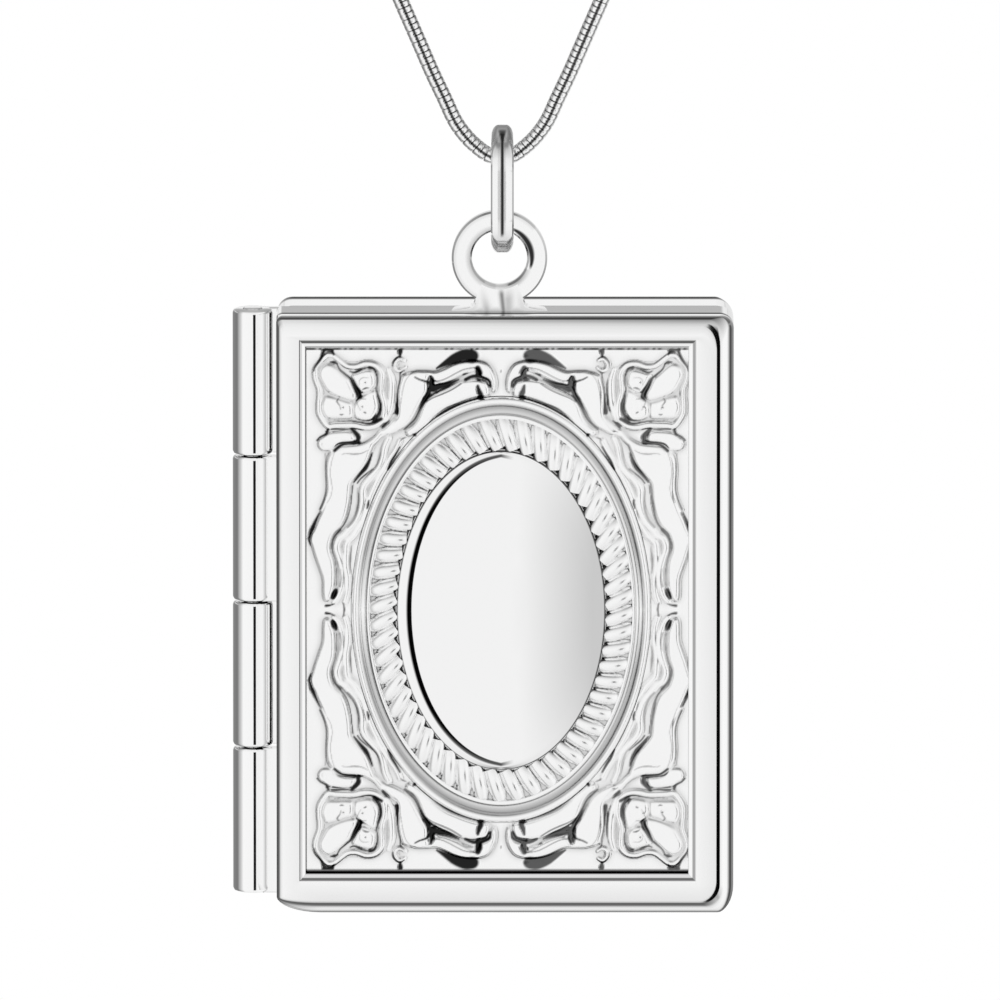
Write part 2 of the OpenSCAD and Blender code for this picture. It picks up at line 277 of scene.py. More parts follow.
@dataclass(frozen=True)
class Finish:
    """One silver finish.

    Attributes:
        name: Name of the material.
        slot: Slot of the record that the finish belongs to.
        tone: Brightness of the silver.
        rough: Roughness of the polish.
        wear: Spread of the roughness over the surface.
        scratch: Strength of the fine polishing marks.
        grain: Size of the marks' pattern, in marks for each millimetre.
        hollow: How much the painted shade and painted reflections darken the silver.
        lean: How far the shading leans to the left, which keeps the flats bright.
        dull: How much rougher the silver is where shade is painted.
    """

    name: str
    slot: Slot
    tone: float = 0.95
    rough: float = 0.05
    wear: float = 0.03
    scratch: float = 0.02
    grain: float = 3.0
    hollow: float = 0.97
    lean: float = 0.0
    dull: float = 0.0

    def material(self) -> bpy.types.Material:
        """Build the node material, or return it when it is already there.

        Returns:
            The material.
        """
        made = bpy.data.materials.get(self.name)
        if made:
            return made
        made = bpy.data.materials.new(self.name)
        made.use_nodes = True
        nodes, links = made.node_tree.nodes, made.node_tree.links
        surface = nodes["Principled BSDF"]
        surface.inputs["Metallic"].default_value = 1.0
        polish = nodes.new("ShaderNodeGroup")
        polish.node_tree = polish_marks()
        for name, value in (("Tone", self.tone), ("Roughness", self.rough), ("Wear", self.wear),
                            ("Scratch", self.scratch), ("Grain", self.grain / MM),
                            ("Painted Shade", self.hollow), ("Lean", -self.lean), ("Dull", self.dull)):
            polish.inputs[name].default_value = value
        where = nodes.new("ShaderNodeTexCoord")
        links.new(where.outputs["Object"], polish.inputs["Position"])
        for name, socket in (("Color", "Base Color"), ("Roughness", "Roughness"),
                             ("Normal", "Normal")):
            links.new(polish.outputs[name], surface.inputs[socket])
        # The painted shade darkens the silver at grazing angles too.
        edge = darkened(made.node_tree, painted(made.node_tree), self.hollow, self.tone)
        links.new(edge, surface.inputs["Specular Tint"])
        return made


def painted(tree: bpy.types.NodeTree) -> bpy.types.NodeSocket:
    """Add a node that reads the painted shade and painted reflections on the mesh."""
    node = tree.nodes.new("ShaderNodeAttribute")
    node.attribute_name = PAINTED_SHADE
    return node.outputs["Fac"]


def darkened(tree: bpy.types.NodeTree, dark: bpy.types.NodeSocket,
             hollow: float | bpy.types.NodeSocket,
             tone: float | bpy.types.NodeSocket) -> bpy.types.NodeSocket:
    """Add the silver's colour, darkened where shade and reflections are painted.

    Args:
        tree: The node tree to add to.
        dark: How dark the painted shade is there.
        hollow: How much the painted shade darkens the colour.
        tone: Brightness of the silver.

    Returns:
        The colour.
    """
    shade = calculate(tree, "MULTIPLY", dark, hollow)
    left = calculate(tree, "SUBTRACT", 1.0, shade, limited=True)
    level = calculate(tree, "MULTIPLY", left, tone)
    grey = tree.nodes.new("ShaderNodeCombineColor")
    for socket in ("Red", "Green", "Blue"):
        tree.links.new(level, grey.inputs[socket])
    return grey.outputs["Color"]


def polish_marks() -> bpy.types.NodeTree:
    """Build the node group of polished silver: tone with painted shade, roughness and fine marks.

    Returns:
        The node group, with outputs Color, Roughness and Normal.
    """
    name = "polished silver marks"
    group = bpy.data.node_groups.get(name)
    if group:
        return group
    group = bpy.data.node_groups.new(name, "ShaderNodeTree")
    face = group.interface
    face.new_socket("Position", in_out="INPUT", socket_type="NodeSocketVector")
    for socket in ("Tone", "Roughness", "Wear", "Scratch", "Grain", "Painted Shade", "Lean", "Dull"):
        face.new_socket(socket, in_out="INPUT", socket_type="NodeSocketFloat")
    for socket, kind in (("Color", "Color"), ("Roughness", "Float"), ("Normal", "Vector")):
        face.new_socket(socket, in_out="OUTPUT", socket_type=f"NodeSocket{kind}")
    nodes, links = group.nodes, group.links
    given = nodes.new("NodeGroupInput").outputs
    put = nodes.new("NodeGroupOutput").inputs
    fine = noise(group, given["Position"], 3.0, given["Grain"])
    broad = noise(group, given["Position"], 2.0, 180.0)
    dark = painted(group)

    spread = calculate(group, "MULTIPLY_ADD", broad, given["Wear"], given["Roughness"])
    rough = calculate(group, "MULTIPLY_ADD", dark, given["Dull"], spread)
    links.new(rough, put["Roughness"])

    bump = nodes.new("ShaderNodeBump")
    bump.inputs["Distance"].default_value = MARK_DEPTH * MM
    links.new(fine, bump.inputs["Height"])
    links.new(given["Scratch"], bump.inputs["Strength"])
    aside = nodes.new("ShaderNodeCombineXYZ")
    links.new(given["Lean"], aside.inputs["X"])
    turned = nodes.new("ShaderNodeVectorTransform")
    turned.vector_type = "NORMAL"
    turned.convert_from, turned.convert_to = "OBJECT", "WORLD"
    links.new(aside.outputs["Vector"], turned.inputs["Vector"])
    strength = calculate(group, "ABSOLUTE", given["Lean"])
    lean = calculate(group, "MULTIPLY", turned.outputs["Vector"], strength, vector=True)
    leaned = calculate(group, "ADD", bump.outputs["Normal"], lean, vector=True)
    links.new(calculate(group, "NORMALIZE", leaned, vector=True), put["Normal"])

    # The silver's colour, darkened by the painted shade and painted reflections.
    links.new(darkened(group, dark, given["Painted Shade"], given["Tone"]), put["Color"])
    return group


CHAIN_SILVER = Finish("chain silver", Slot.CHAIN, rough=0.06, wear=0.05, scratch=0.0)
POLISHED_SILVER = Finish("polished silver", Slot.POLISHED, tone=0.97, rough=0.035)
# The bail's silver, rougher where its painted shade and painted reflection line lie.
BAIL_SILVER = Finish("bail silver", Slot.POLISHED, tone=0.97, rough=0.035, dull=0.8)
CAST_SILVER = Finish("cast silver", Slot.CAST, tone=0.98, rough=0.2, wear=0.04, hollow=0.98,
                     lean=0.14)
MIRROR_SILVER = Finish("mirror silver", Slot.MIRROR, rough=0.02, wear=0.01)


@dataclass
class Piece:
    """A finished piece of the necklace.

    Attributes:
        name: Name of the object.
        node: The CAD piece that it stands for.
        body: The part that it moves with.
        finish: Its silver.
        sharp: Angle between faces from which an edge stays crisp.
        even: Whether the wide faces keep their own shading next to rounded edges.
    """

    name: str
    node: str
    body: Body
    finish: Finish
    sharp: float = 35.0
    even: bool = True

    def dress(self, bm: bmesh.types.BMesh, merge: float = WELD) -> bpy.types.Object:
        """Turn a finished mesh into the piece, in its silver and on its part.

        Args:
            bm: The mesh, in the necklace's frame. It is used up.
            merge: Distance within which points become one, in metres.

        Returns:
            The object.
        """
        weld(bm, closed=False, reach=merge)
        bmesh.ops.recalc_face_normals(bm, faces=bm.faces[:])
        mesh = bpy.data.meshes.new(self.name)
        bm.to_mesh(mesh)
        bm.free()
        mesh.shade_smooth()
        mesh.set_sharp_from_angle(angle=math.radians(self.sharp))
        mesh.materials.append(self.finish.material())
        obj = bpy.data.objects.new(self.name, mesh)
        bpy.context.scene.collection.objects.link(obj)
        if self.even:
            shading = obj.modifiers.new("even shading", "WEIGHTED_NORMAL")
            shading.keep_sharp = True
        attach(obj, self.body.value)
        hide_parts(self.node)
        log.info("%s: %d faces", self.name, len(mesh.polygons))
        return obj


@dataclass
class SnakeChain:
    """The necklace's woven chain: one narrow lobed link behind the other along its route.

    Attributes:
        thick: Thickness of the chain.
        pitch: Distance from link to link.
        link_l: Length of a link.
        outline: Half of a link's outline, as the turn from its outer side, the share of the
        radius, and the painted shade at the link's ends.
        grooved: Share of the radius below which the outline is in the groove.
        groove_dark: Painted shade along the groove.
        rings: Rings of a link, as the place along it, the share of the radius, and the share
        of the painted shade.
        dense: Points between two of the route's points.
        look: Distance ahead and behind that gives a link its direction.
        route: The right half of the loop, from the bottom up.
    """

    thick: float = 0.9
    pitch: float = 0.35
    link_l: float = 0.345
    outline: Rows = (
        (0, 1.0, 0.2), (22, 1.0, 0.2), (44, 0.995, 0.3), (62, 0.98, 0.4), (74, 0.95, 0.5),
        (83, 0.88, 1.0), (97, 0.88, 1.0), (106, 0.95, 1.0), (118, 0.98, 1.0), (136, 0.995, 1.0),
        (158, 1.0, 0.9), (180, 1.0, 0.8))
    grooved: float = 0.9
    groove_dark: float = 0.94
    rings: Rows = ((-0.5, 0.9, 1.0), (-0.38, 0.99, 0.0), (0.38, 0.99, 0.0), (0.5, 0.9, 1.0))
    dense: int = 24
    look: float = 0.1
    route: Rows = (
        (0, 0), (0.7, 0.15), (1.4, 0.65), (2, 1.25), (2.6, 2.1), (3.2, 3.4), (3.9, 4.9),
        (4.5, 6.3), (5.1, 7.7), (5.7, 9.1), (16, 34), (32, 72.6), (48.3, 112), (50.5, 118.5),
        (51.9, 125.2), (52.3, 132), (51.9, 138.8), (50.5, 145.5), (48.3, 152), (45.3, 158.2),
        (41.5, 163.8), (37, 169), (31.8, 173.5), (26.2, 177.3), (20, 180.3), (13.5, 182.5),
        (6.8, 183.9), (4.9, 184.2), (3.1, 184.2))

    def line(self) -> tuple[np.ndarray, np.ndarray]:
        """Space the links evenly along the route.

        Returns:
            Middles and directions of the links, as rows of x and height.
        """
        half = np.array(self.route, float)
        whole = np.vstack([half[:0:-1] * (-1, 1), half])
        curved = []
        for i in range(len(whole) - 1):
            before, after = whole[max(i - 1, 0)], whole[min(i + 2, len(whole) - 1)]
            a, b = whole[i], whole[i + 1]
            span = np.linalg.norm(b - a)
            way_a, way_b = (way / max(np.linalg.norm(way), 1e-9) * span
                            for way in (b - before, after - a))
            t = np.linspace(0, 1, self.dense, endpoint=False)[:, None]
            curved.append((2 * t**3 - 3 * t**2 + 1) * a + (t**3 - 2 * t**2 + t) * way_a
                          + (3 * t**2 - 2 * t**3) * b + (t**3 - t**2) * way_b)
        curved = np.vstack(curved + [whole[-1:]])
        run = np.concatenate([[0], np.cumsum(np.linalg.norm(np.diff(curved, axis=0), axis=1))])
        count = int(run[-1] / self.pitch)
        at = (np.arange(count) + 0.5) * run[-1] / count
        middle, ahead, behind = (
            np.stack([np.interp(at + off, run, curved[:, k]) for k in (0, 1)], axis=1)
            for off in (0, self.look, -self.look))
        way = ahead - behind
        return middle, way / np.linalg.norm(way, axis=1)[:, None]

    def link(self) -> bmesh.types.BMesh:
        """Build one link, upright about the origin, in millimetres.

        Returns:
            The mesh.
        """
        whole = self.outline[:-1] + tuple((360 - turn, *row) for turn, *row in self.outline[:0:-1])

        def place(i: int, j: int) -> Vector:
            """Give a point of the grooved outline, on one of the link's rings."""
            turn, wide, _ = whole[i % len(whole)]
            a, r = math.radians(turn), self.thick / 2 * wide * self.rings[j][1]
            return Vector((r * math.cos(a), r * math.sin(a), self.rings[j][0] * self.link_l))

        bm = bmesh.new()
        shade = bm.verts.layers.float.new(PAINTED_SHADE)
        sheet(bm, len(whole), len(self.rings) - 1, place)
        weld(bm, reach=1e-5)
        bmesh.ops.recalc_face_normals(bm, faces=bm.faces[:])
        for vert in bm.verts:
            ring = min(self.rings, key=lambda row: abs(row[0] * self.link_l - vert.co.z))
            turn = math.degrees(math.atan2(abs(vert.co.y), vert.co.x))
            _, wide, dark = min(self.outline, key=lambda row: abs(row[0] - turn))
            # Painted shade in the groove and where one link meets the next.
            vert[shade] = mix(self.groove_dark, 1, ring[2]) if wide < self.grooved else dark * ring[2]
        return bm

    def build(self) -> bpy.types.Object:
        """Build the chain.

        Returns:
            The object.
        """
        middle, way = self.line()
        bm = self.link()
        each, copies = len(bm.verts), 1
        while copies < len(middle):
            bmesh.ops.duplicate(bm, geom=bm.verts[:] + bm.edges[:] + bm.faces[:])
            copies *= 2
        bm.verts.ensure_lookup_table()
        bmesh.ops.delete(bm, geom=bm.verts[len(middle) * each:], context="VERTS")
        bm.verts.ensure_lookup_table()
        for n, vert in enumerate(bm.verts):
            k = n // each
            side, deep, on = vert.co
            vert.co = spot(middle[k, 0] + way[k, 1] * side + way[k, 0] * on, deep,
                           middle[k, 1] - way[k, 0] * side + way[k, 1] * on)
        piece = Piece("chain_links", "snake_chain", Body.NECKLACE, CHAIN_SILVER, even=False,
                      sharp=75.0)
        return piece.dress(bm, FINEST_WELD)


@dataclass
class Clasp:
    """The plain barrel that joins the chain's ends at the back of the neck.

    Attributes:
        length: Length of the barrel.
        thick: Its thickness.
        end_thick: Thickness of its stepped ends.
        shoulder: Length of each stepped end.
        socket_r: Radius of the sockets for the chain.
        socket_x: Distance from the middle to a socket's floor.
        soft: Radius of the shoulders' rounding.
        edge: Width of the cut edges of the ends.
        lip: Width of the cut edges of the sockets.
    """

    length: float = 9.0
    thick: float = 2.2
    end_thick: float = 1.8
    shoulder: float = 0.6
    socket_r: float = 0.53
    socket_x: float = 3.0
    soft: float = 0.15
    edge: float = 0.08
    lip: float = 0.05

    def build(self) -> bpy.types.Object:
        """Build the clasp.

        Returns:
            The object.
        """
        bm = bmesh.new()
        half, r, end_r = self.length / 2, self.thick / 2, self.end_thick / 2
        socket, soft = self.socket_r, self.soft
        side = [(0, self.socket_x), (socket, self.socket_x), (socket, half - self.lip),
                (socket + self.lip, half), (end_r - self.edge, half), (end_r, half - self.edge),
                (end_r, half - self.shoulder), (r - soft, half - self.shoulder)]
        side += [(r - soft + soft * math.sin(a), half - self.shoulder - soft + soft * math.cos(a))
                 for a in (math.radians(22.5 * k) for k in range(1, 5))]
        profile = [Vector((x * MM, 0, r0 * MM)) for r0, x in side]
        profile += [Vector((-p.x, 0, p.z)) for p in reversed(profile)]
        lathe(bm, profile, Vector(), Vector((1, 0, 0)), 64)
        return Piece("barrel_clasp", "clasp", Body.NECKLACE, POLISHED_SILVER).dress(bm)


@dataclass(frozen=True)
class Bend:
    """How the bail's painted reflection line and painted shade change towards one of its bends.

    Attributes:
        line_end: Turn at which the painted reflection line has faded.
        spread: How much wider the line grows on its way there.
        cap_start: Turn at which the bend's own painted shade starts.
        cap: The bend's own painted shade.
    """

    line_end: float
    spread: float
    cap_start: float
    cap: float


@dataclass
class Bail:
    """The long ring that hangs on the chain and carries the locket.

    Attributes:
        reach: Half of the height between the wire's middles.
        end_r: Radius of the bends, to the wire's middle.
        wire: Thickness of the wire.
        height: Height of the ring's middle.
        aside: How far it hangs to the right.
        corner: Width of the cut edges along its front.
        steps: Steps of each bend.
        bow: How much the front's sides fall away at the bends.
        bow_x: Distance from the middle where they start to.
        narrow: How much narrower the bends are.
        front_turn: Turn up to which the bends belong to the front.
        side_turn: Turn from which the wire's sides get painted shade.
        side: Darkness of that painted shade.
        line: Darkness of the painted reflection line along the front.
        line_w: Half width of the line.
        band: Darkness of the broad painted band round the line.
        band_x: The band's left and right edge.
        grow_turn: Turn from which the line grows wider, and the turn over which it does.
        fade_turn: Turn over which the line fades, and over which a bend's darkness starts.
        upper: The bend on the chain.
        lower: The bend in the eye.
    """

    reach: float = 3.0
    end_r: float = 1.7
    wire: float = 1.3
    height: float = -1.8
    aside: float = 0.07
    corner: float = 0.09
    steps: int = 24
    bow: float = 2.4
    bow_x: float = 0.25
    narrow: float = 0.07
    front_turn: float = 100.0
    side_turn: float = 40.0
    side: float = 0.25
    line: float = 0.97
    line_w: float = 0.11
    band: float = 0.16
    band_x: tuple[float, float] = (-0.27, 0.2)
    grow_turn: tuple[float, float] = (48.0, 20.0)
    fade_turn: tuple[float, float] = (8.0, 12.0)
    upper: Bend = Bend(line_end=74, spread=0.2, cap_start=38, cap=0.33)
    lower: Bend = Bend(line_end=30, spread=0.0, cap_start=18, cap=0.12)

    def build(self) -> bpy.types.Object:
        """Build the ring.

        Returns:
            The object.
        """
        section = wire_section(self.wire / 2, self.wire / 2 - self.corner, 18)
        half_turn = [math.pi * k / self.steps for k in range(self.steps + 1)]
        path = [(a, 1) for a in half_turn] + [(math.pi + a, -1) for a in half_turn]
        count, rise = len(path), self.reach - self.end_r

        def place(i: int, j: int) -> Vector:
            """Give a point of the ring."""
            (a, end), (x, out) = path[i % count], section[j % len(section)]
            bent = math.sin(a) ** 2 if math.cos(a) > 0 else 1.0
            if out > 0:
                out -= self.bow * bent * max(abs(x) - self.bow_x, 0) ** 2
            x *= 1 - self.narrow * bent
            r = self.end_r + out
            return spot(self.aside + x, -r * math.cos(a),
                        self.height + end * rise + r * math.sin(a))

        bm = bmesh.new()
        sheet(bm, count, len(section), place,
              lambda i, j: self.shade(path[i % count][0], *section[j % len(section)]))
        return Piece("ring_bail", "bail", Body.BAIL, BAIL_SILVER, even=False).dress(bm)

    def shade(self, a: float, x: float, out: float) -> float:
        """Paint the dark reflection line along the front, and painted shade on the sides and bends.

        Args:
            a: Turn round the ring, in radians.
            x: Distance to the right of the wire's middle.
            out: Distance outward from it.

        Returns:
            The darkness.
        """
        turn = abs(math.degrees(a) - (360 if a > math.pi else 0))
        bend = self.upper if a <= math.pi else self.lower
        if out < self.wire / 2 - 0.01 or turn > self.front_turn:
            return self.side if out > 0.05 and self.side_turn < turn <= self.front_turn else 0.0
        start, reach = self.grow_turn
        wide = self.line_w + bend.spread * max(turn - start, 0) / reach
        line = self.line * max(1 - (abs(x) / wide) ** 4, 0)
        band = self.band if self.band_x[0] < x < self.band_x[1] else 0.0
        line_fade, cap_fade = self.fade_turn
        fade = clamp((bend.line_end - turn) / line_fade)
        return max(fade * max(line, band), bend.cap * clamp((turn - bend.cap_start) / cap_fade))


@dataclass(frozen=True)
class Case:
    """Sizes that the two covers and the hinge share.

    Attributes:
        left: The case's left side; right, top, bottom, front and back are its other sides.
        part: Depth at which the covers part.
        seam: Gap between the covers.
        wall: Thickness of the walls.
        slot: How far the picture slots reach into the walls' inner sides.
        slot_y: Height of a slot's two sides above the well's floor.
        leaf_x: Distance from the hinge's axis to the start of a leaf.
        leaf_y: Distance of a leaf's two faces from the parting.
        hinge_x: The hinge's axis.
        barrel_r: Radius of the knuckles.
        barrel_top: Height of the hinge's upper end.
        knuckle: Length of a knuckle with its gap.
        knuckles: How many there are.
        knuckle_gap: Gap between two of them.
        bore_r: Radius of their bore.
        pin_r: Radius of the pin.
        inner: Width and height of the corners on the face, inside the rounded edge.
        inner_at: Distance in from the walls at which the corners have that size.
        least: Least size of a round corner.
        crisp: Size of a crisp corner.
        steps: Steps of each corner.
    """

    left: float = -12.75
    right: float = 13.2
    top: float = -8.7
    bottom: float = -43.2
    front: float = -2.6
    part: float = 0.8
    back: float = 4.2
    seam: float = 0.06
    wall: float = 0.55
    slot: float = 0.9
    slot_y: tuple[float, float] = (0.4, 0.7)
    leaf_x: float = 0.6
    leaf_y: tuple[float, float] = (0.05, 0.8)
    hinge_x: float = -14.1
    barrel_r: float = 1.15
    barrel_top: float = -8.8
    knuckle: float = 8.425
    knuckles: int = 4
    knuckle_gap: float = 0.08
    bore_r: float = 0.54
    pin_r: float = 0.5
    inner: Corners = ((0.8, 1.3), (0.25, 0.25), (0.25, 0.25), (1.0, 1.15))
    inner_at: float = 0.6
    least: float = 0.2
    crisp: float = 0.01
    steps: int = 8

    def outline(self, inset: Sides, corners: Corners | None) -> list[tuple[float, float, float]]:
        """Give an outline inside the case's own, with rounded or with crisp corners.

        Args:
            inset: Distance in from the left, right, bottom and top.
            corners: Width and height of the case's corners, or None for crisp ones.

        Returns:
            The corner arcs' points, as x, height and turn in quarters from the right side.
        """
        left, right = self.left + inset[0], self.right - inset[1]
        low, high = self.bottom + inset[2], self.top - inset[3]
        share = min(max(inset) / self.inner_at, 1)
        points = []
        for quarter, (x, z, way_x, way_z) in enumerate((
                (right, high, 1, 1), (left, high, -1, 1), (left, low, -1, -1), (right, low, 1, -1))):
            wide = tall = self.crisp
            if corners:
                (wide, tall), (inner_w, inner_h) = corners[quarter], self.inner[quarter]
                wide = max(wide - inset[1 if way_x > 0 else 0], share * inner_w, self.least)
                tall = max(tall - inset[3 if way_z > 0 else 2], share * inner_h, self.least)
            for k in range(self.steps + 1):
                turn = quarter + k / self.steps
                a = math.radians(90 * turn)
                points.append((x + wide * (math.cos(a) - way_x), z + tall * (math.sin(a) - way_z),
                               turn))
        return points


CASE = Case()


@dataclass(frozen=True)
class Level:
    """One outline of a cover, on its way from the well over the edge to the middle of its face.

    Attributes:
        y: Depth of the outline.
        inset: Distance in from the left, right, bottom and top.
        corners: Width and height of the corners at the top right, top left, bottom left and
            bottom right before the inset, or None for crisp ones.
        dark: Painted shade and painted reflection at the left, right, bottom and top.
        fade: Share of the top's darkness that is left at its left end.
    """

    y: float
    inset: Sides
    corners: Corners | None = None
    dark: Sides = (0, 0, 0, 0)
    fade: float = 1.0

    def darkness(self, quarter: int, turn: float) -> float:
        """Give the painted darkness in a corner, at a turn in quarters from the right side."""
        left, right, low, high = self.dark
        ends = ((right, high), (high * self.fade, left), (left, low), (low, right))[quarter]
        return mix(*ends, turn - quarter)


def well_levels(side: int, floor_y: float, rim: Corners) -> list[Level]:
    """Give the outlines of a cover's well, with its picture slot, and of its parting edge.

    Args:
        side: -1 for the front cover, 1 for the back cover.
        floor_y: Depth of the well's floor.
        rim: Width and height of the cover's corners.

    Returns:
        The outlines, from the floor to the start of the outer wall.
    """
    wall, slot = (CASE.wall,) * 4, (CASE.wall + CASE.slot,) * 4
    open_y = CASE.part + side * CASE.seam / 2
    near_y, far_y = (floor_y - side * y for y in CASE.slot_y)
    inside = ((floor_y, wall), (near_y, wall), (near_y, slot), (far_y, slot), (far_y, wall),
              (open_y, wall))
    edge = ((0, 0.04), (0.04, 0), (0.07, 0))
    return ([Level(y, inset) for y, inset in inside]
            + [Level(open_y + side * deep, (inset,) * 4, rim) for deep, inset in edge])


def cover_tray(bm: bmesh.types.BMesh, levels: Sequence[Level]) -> None:
    """Build a tray from outlines, closed at the first and at the last one.

    Args:
        bm: The mesh to add to.
        levels: The outlines, in order.
    """
    rings = [CASE.outline(level.inset, level.corners) for level in levels]
    count = len(rings[0])
    part = bmesh.new()

    def place(i: int, j: int) -> Vector:
        """Give a point of an outline."""
        x, z, _ = rings[j][i % count]
        return spot(x, levels[j].y, z)

    sheet(part, count, len(levels) - 1, place,
          lambda i, j: levels[j].darkness(i % count * 4 // count, rings[j][i % count][2]))
    weld(part)
    join(bm, part)


def knuckle(bm: bmesh.types.BMesh, index: int, side: float) -> None:
    """Add a hinge knuckle with the leaf that joins it to its cover.

    Args:
        bm: The mesh to add to.
        index: Number of the knuckle, from the top.
        side: -1 for the front cover, 1 for the back cover.
    """
    high = CASE.barrel_top - index * CASE.knuckle - CASE.knuckle_gap / 2
    low = high - CASE.knuckle + CASE.knuckle_gap
    r, bore, soft, lip = CASE.barrel_r, CASE.bore_r, 0.2, 0.03
    section = [(bore, low + lip), (bore + lip, low), (r - soft, low),
               (r - soft * 0.3, low + soft * 0.3), (r, low + soft), (r, high - soft),
               (r - soft * 0.3, high - soft * 0.3), (r - soft, high), (bore + lip, high),
               (bore, high - lip)]
    part = bmesh.new()
    lathe(part, [spot(CASE.hinge_x + x, CASE.part, z) for x, z in section],
          spot(CASE.hinge_x, CASE.part, 0), Vector((0, 0, 1)), 72)
    join(bm, part)
    near_y, far_y = (CASE.part + side * y for y in CASE.leaf_y)
    box(bm, (CASE.hinge_x + CASE.leaf_x, CASE.left + CASE.wall / 2), (near_y, far_y),
        (low + 0.01, high - 0.01), 0.05)


@dataclass
class FrontCover:
    """The front half of the case, with its recess, two knuckles and the soldered hanging eye.

    Attributes:
        corners: Width and height of the corners, from the top right one round by the left.
        edge: The rounded edge, as rows of the drop below the face, the distance in from the
        left, right, bottom and top wall, and the painted reflection and shade at those four sides.
        recess: Distance from the walls to the recess.
        bevel: Share of the bevel's full width at the left, right, bottom and top.
        line: Painted shade along the recess's edge at the left, right, bottom and top.
        flat: Painted shade that grades the face just outside the recess.
        ends: Painted shade at the bevel's foot.
        walls: Painted shade on the recess's walls.
        slope: The bevel, as the distance inside the recess's edge and the drop.
        deep: Depth of the recess.
        eye_r: Radius of the eye, to the wire's middle.
        eye_wire: Thickness of its wire.
        eye_flat: Half width of its flat front.
        eye_x: The eye's middle.
        eye_z: Height of its middle.
        crescent_turn: Middle of the dark crescent of painted shade and painted reflection beside the
            hole, as a turn round the eye.
        crescent_reach: Turn from there to the crescent's ends.
        foot_z: The soldered foot's outline, as the half width and the height there.
        foot_r: Radius of the foot's arc below the hole.
        foot_arc: Half width of that arc.
    """

    corners: Corners = ((0.8, 0.8), (0.35, 0.35), (2.5, 0.95), (0.9, 1.5))
    edge: Rows = (
        (1.42, 0, 0, 0, 0.034, 0, 0, 0, 0.75), (1.02, 0, 0, 0, 0.035, 0, 0, 0.6, 0.75),
        (0.98, 0, 0, 0, 0.034, 0, 0, 0.8, 0), (0.9, 0, 0, 0, 0.03, 0, 0.4, 0.85, 0),
        (0.73, 0, 0.016, 0, 0.025, 0, 0.45, 0.9, 0), (0.6, 0, 0.052, 0, 0.022, 0, 0.5, 0.92, 0),
        (0.47, 0, 0.109, 0, 0.02, 0, 0.45, 0.92, 0), (0.35, 0, 0.188, 0.03, 0.02, 0, 0.4, 0.88, 0),
        (0.25, 0, 0.278, 0.085, 0.025, 0, 0.2, 0.65, 0.2),
        (0.17, 0, 0.374, 0.17, 0.05, 0, 0, 0.15, 0.8), (0.11, 0, 0.469, 0.27, 0.119, 0.85, 0, 0, 0.9),
        (0.07, 0.04, 0.552, 0.37, 0.165, 0.9, 0, 0.15, 0.9),
        (0.052, 0.07, 0.599, 0.44, 0.2, 0.9, 0, 0.6, 0.8),
        (0.048, 0.075, 0.61, 0.475, 0.21, 0.9, 0, 0.8, 0.7),
        (0.012, 0.14, 0.754, 0.59, 0.4, 0.9, 0.1, 0.95, 0.4),
        (0.009, 0.15, 0.773, 0.604, 0.43, 0.85, 0.4, 0.9, 0.36),
        (0.0083, 0.17, 0.785, 0.608, 0.44, 0.6, 0.9, 0.85, 0.33),
        (0.0007, 0.2, 0.945, 0.67, 0.58, 0.35, 0.9, 0.4, 0.2),
        (0, 0.26, 0.965, 0.69, 0.6, 0.12, 0.3, 0.3, 0.18),
        (0, 0.36, 1.01, 0.76, 0.8, 0, 0.1, 0.13, 0.1), (0, 0.4, 1.05, 0.8, 1.1, 0, 0.1, 0.12, 0))
    recess: Sides = (1.4, 2.25, 2.0, 1.48)
    bevel: Sides = (0.8, 1, 1, 1)
    line: Sides = (0.3, 0.6, 0.85, 0.9)
    flat: Sides = (0.07, 0, 0, 0.12)
    ends: Sides = (0.2, 0.12, 0.8, 0.8)
    walls: Sides = (0.3, 0.3, 1.0, 1.0)
    slope: Rows = ((-0.14, 0), (-0.06, 0), (0.05, 0.03), (0.1, 0.055), (0.24, 0.12), (0.3, 0.15))
    deep: float = 0.75
    eye_r: float = 2.14
    eye_wire: float = 1.14
    eye_flat: float = 0.46
    eye_x: float = -0.09
    eye_z: float = -5.7
    crescent_turn: float = 24.0
    crescent_reach: float = 46.0
    foot_z: Rows = (
        (1.1, -7.3), (1.2, -7.6), (1.35, -8.0), (1.42, -8.33), (1.5, -8.46), (1.65, -8.54),
        (1.9, -8.6), (2.25, -8.66), (2.72, -8.72))
    foot_r: float = 1.72
    foot_arc: float = 1.05

    def build(self) -> bpy.types.Object:
        """Build the front cover.

        Returns:
            The object.
        """
        bm = bmesh.new()
        cover_tray(bm, self.levels())
        for index in (1, 3):
            knuckle(bm, index, -1)
        self.eye(bm)
        self.foot(bm)
        return Piece("case_front", "front_cover", Body.FRONT, POLISHED_SILVER).dress(bm, FINE_WELD)

    def levels(self) -> list[Level]:
        """Give the cover's outlines, from the floor of its well to the floor of its recess.

        Returns:
            The outlines.
        """
        corners, face = self.corners, CASE.front
        levels = well_levels(-1, face + self.deep + CASE.wall, corners)
        levels.append(Level(face + self.edge[0][0] + 0.02, self.edge[0][1:5], corners))
        # The rounded edge's rows carry painted reflection and painted shade.
        for drop, *row in self.edge:
            inset, dark = tuple(row[:4]), tuple(row[4:])
            fade = 0.3 if inset[3] > 0.205 else 0.9
            levels.append(Level(face + drop, inset, corners, dark, fade))
        none = (0.0,) * 4
        shades = (self.flat, self.line, self.line, none, none, self.ends, self.walls)
        for (out, drop), dark in zip(self.slope + ((self.slope[-1][0], self.deep),), shades):
            inset = tuple(value + out * share for value, share in zip(self.recess, self.bevel))
            levels.append(Level(face + drop, inset, None, dark))
        return levels

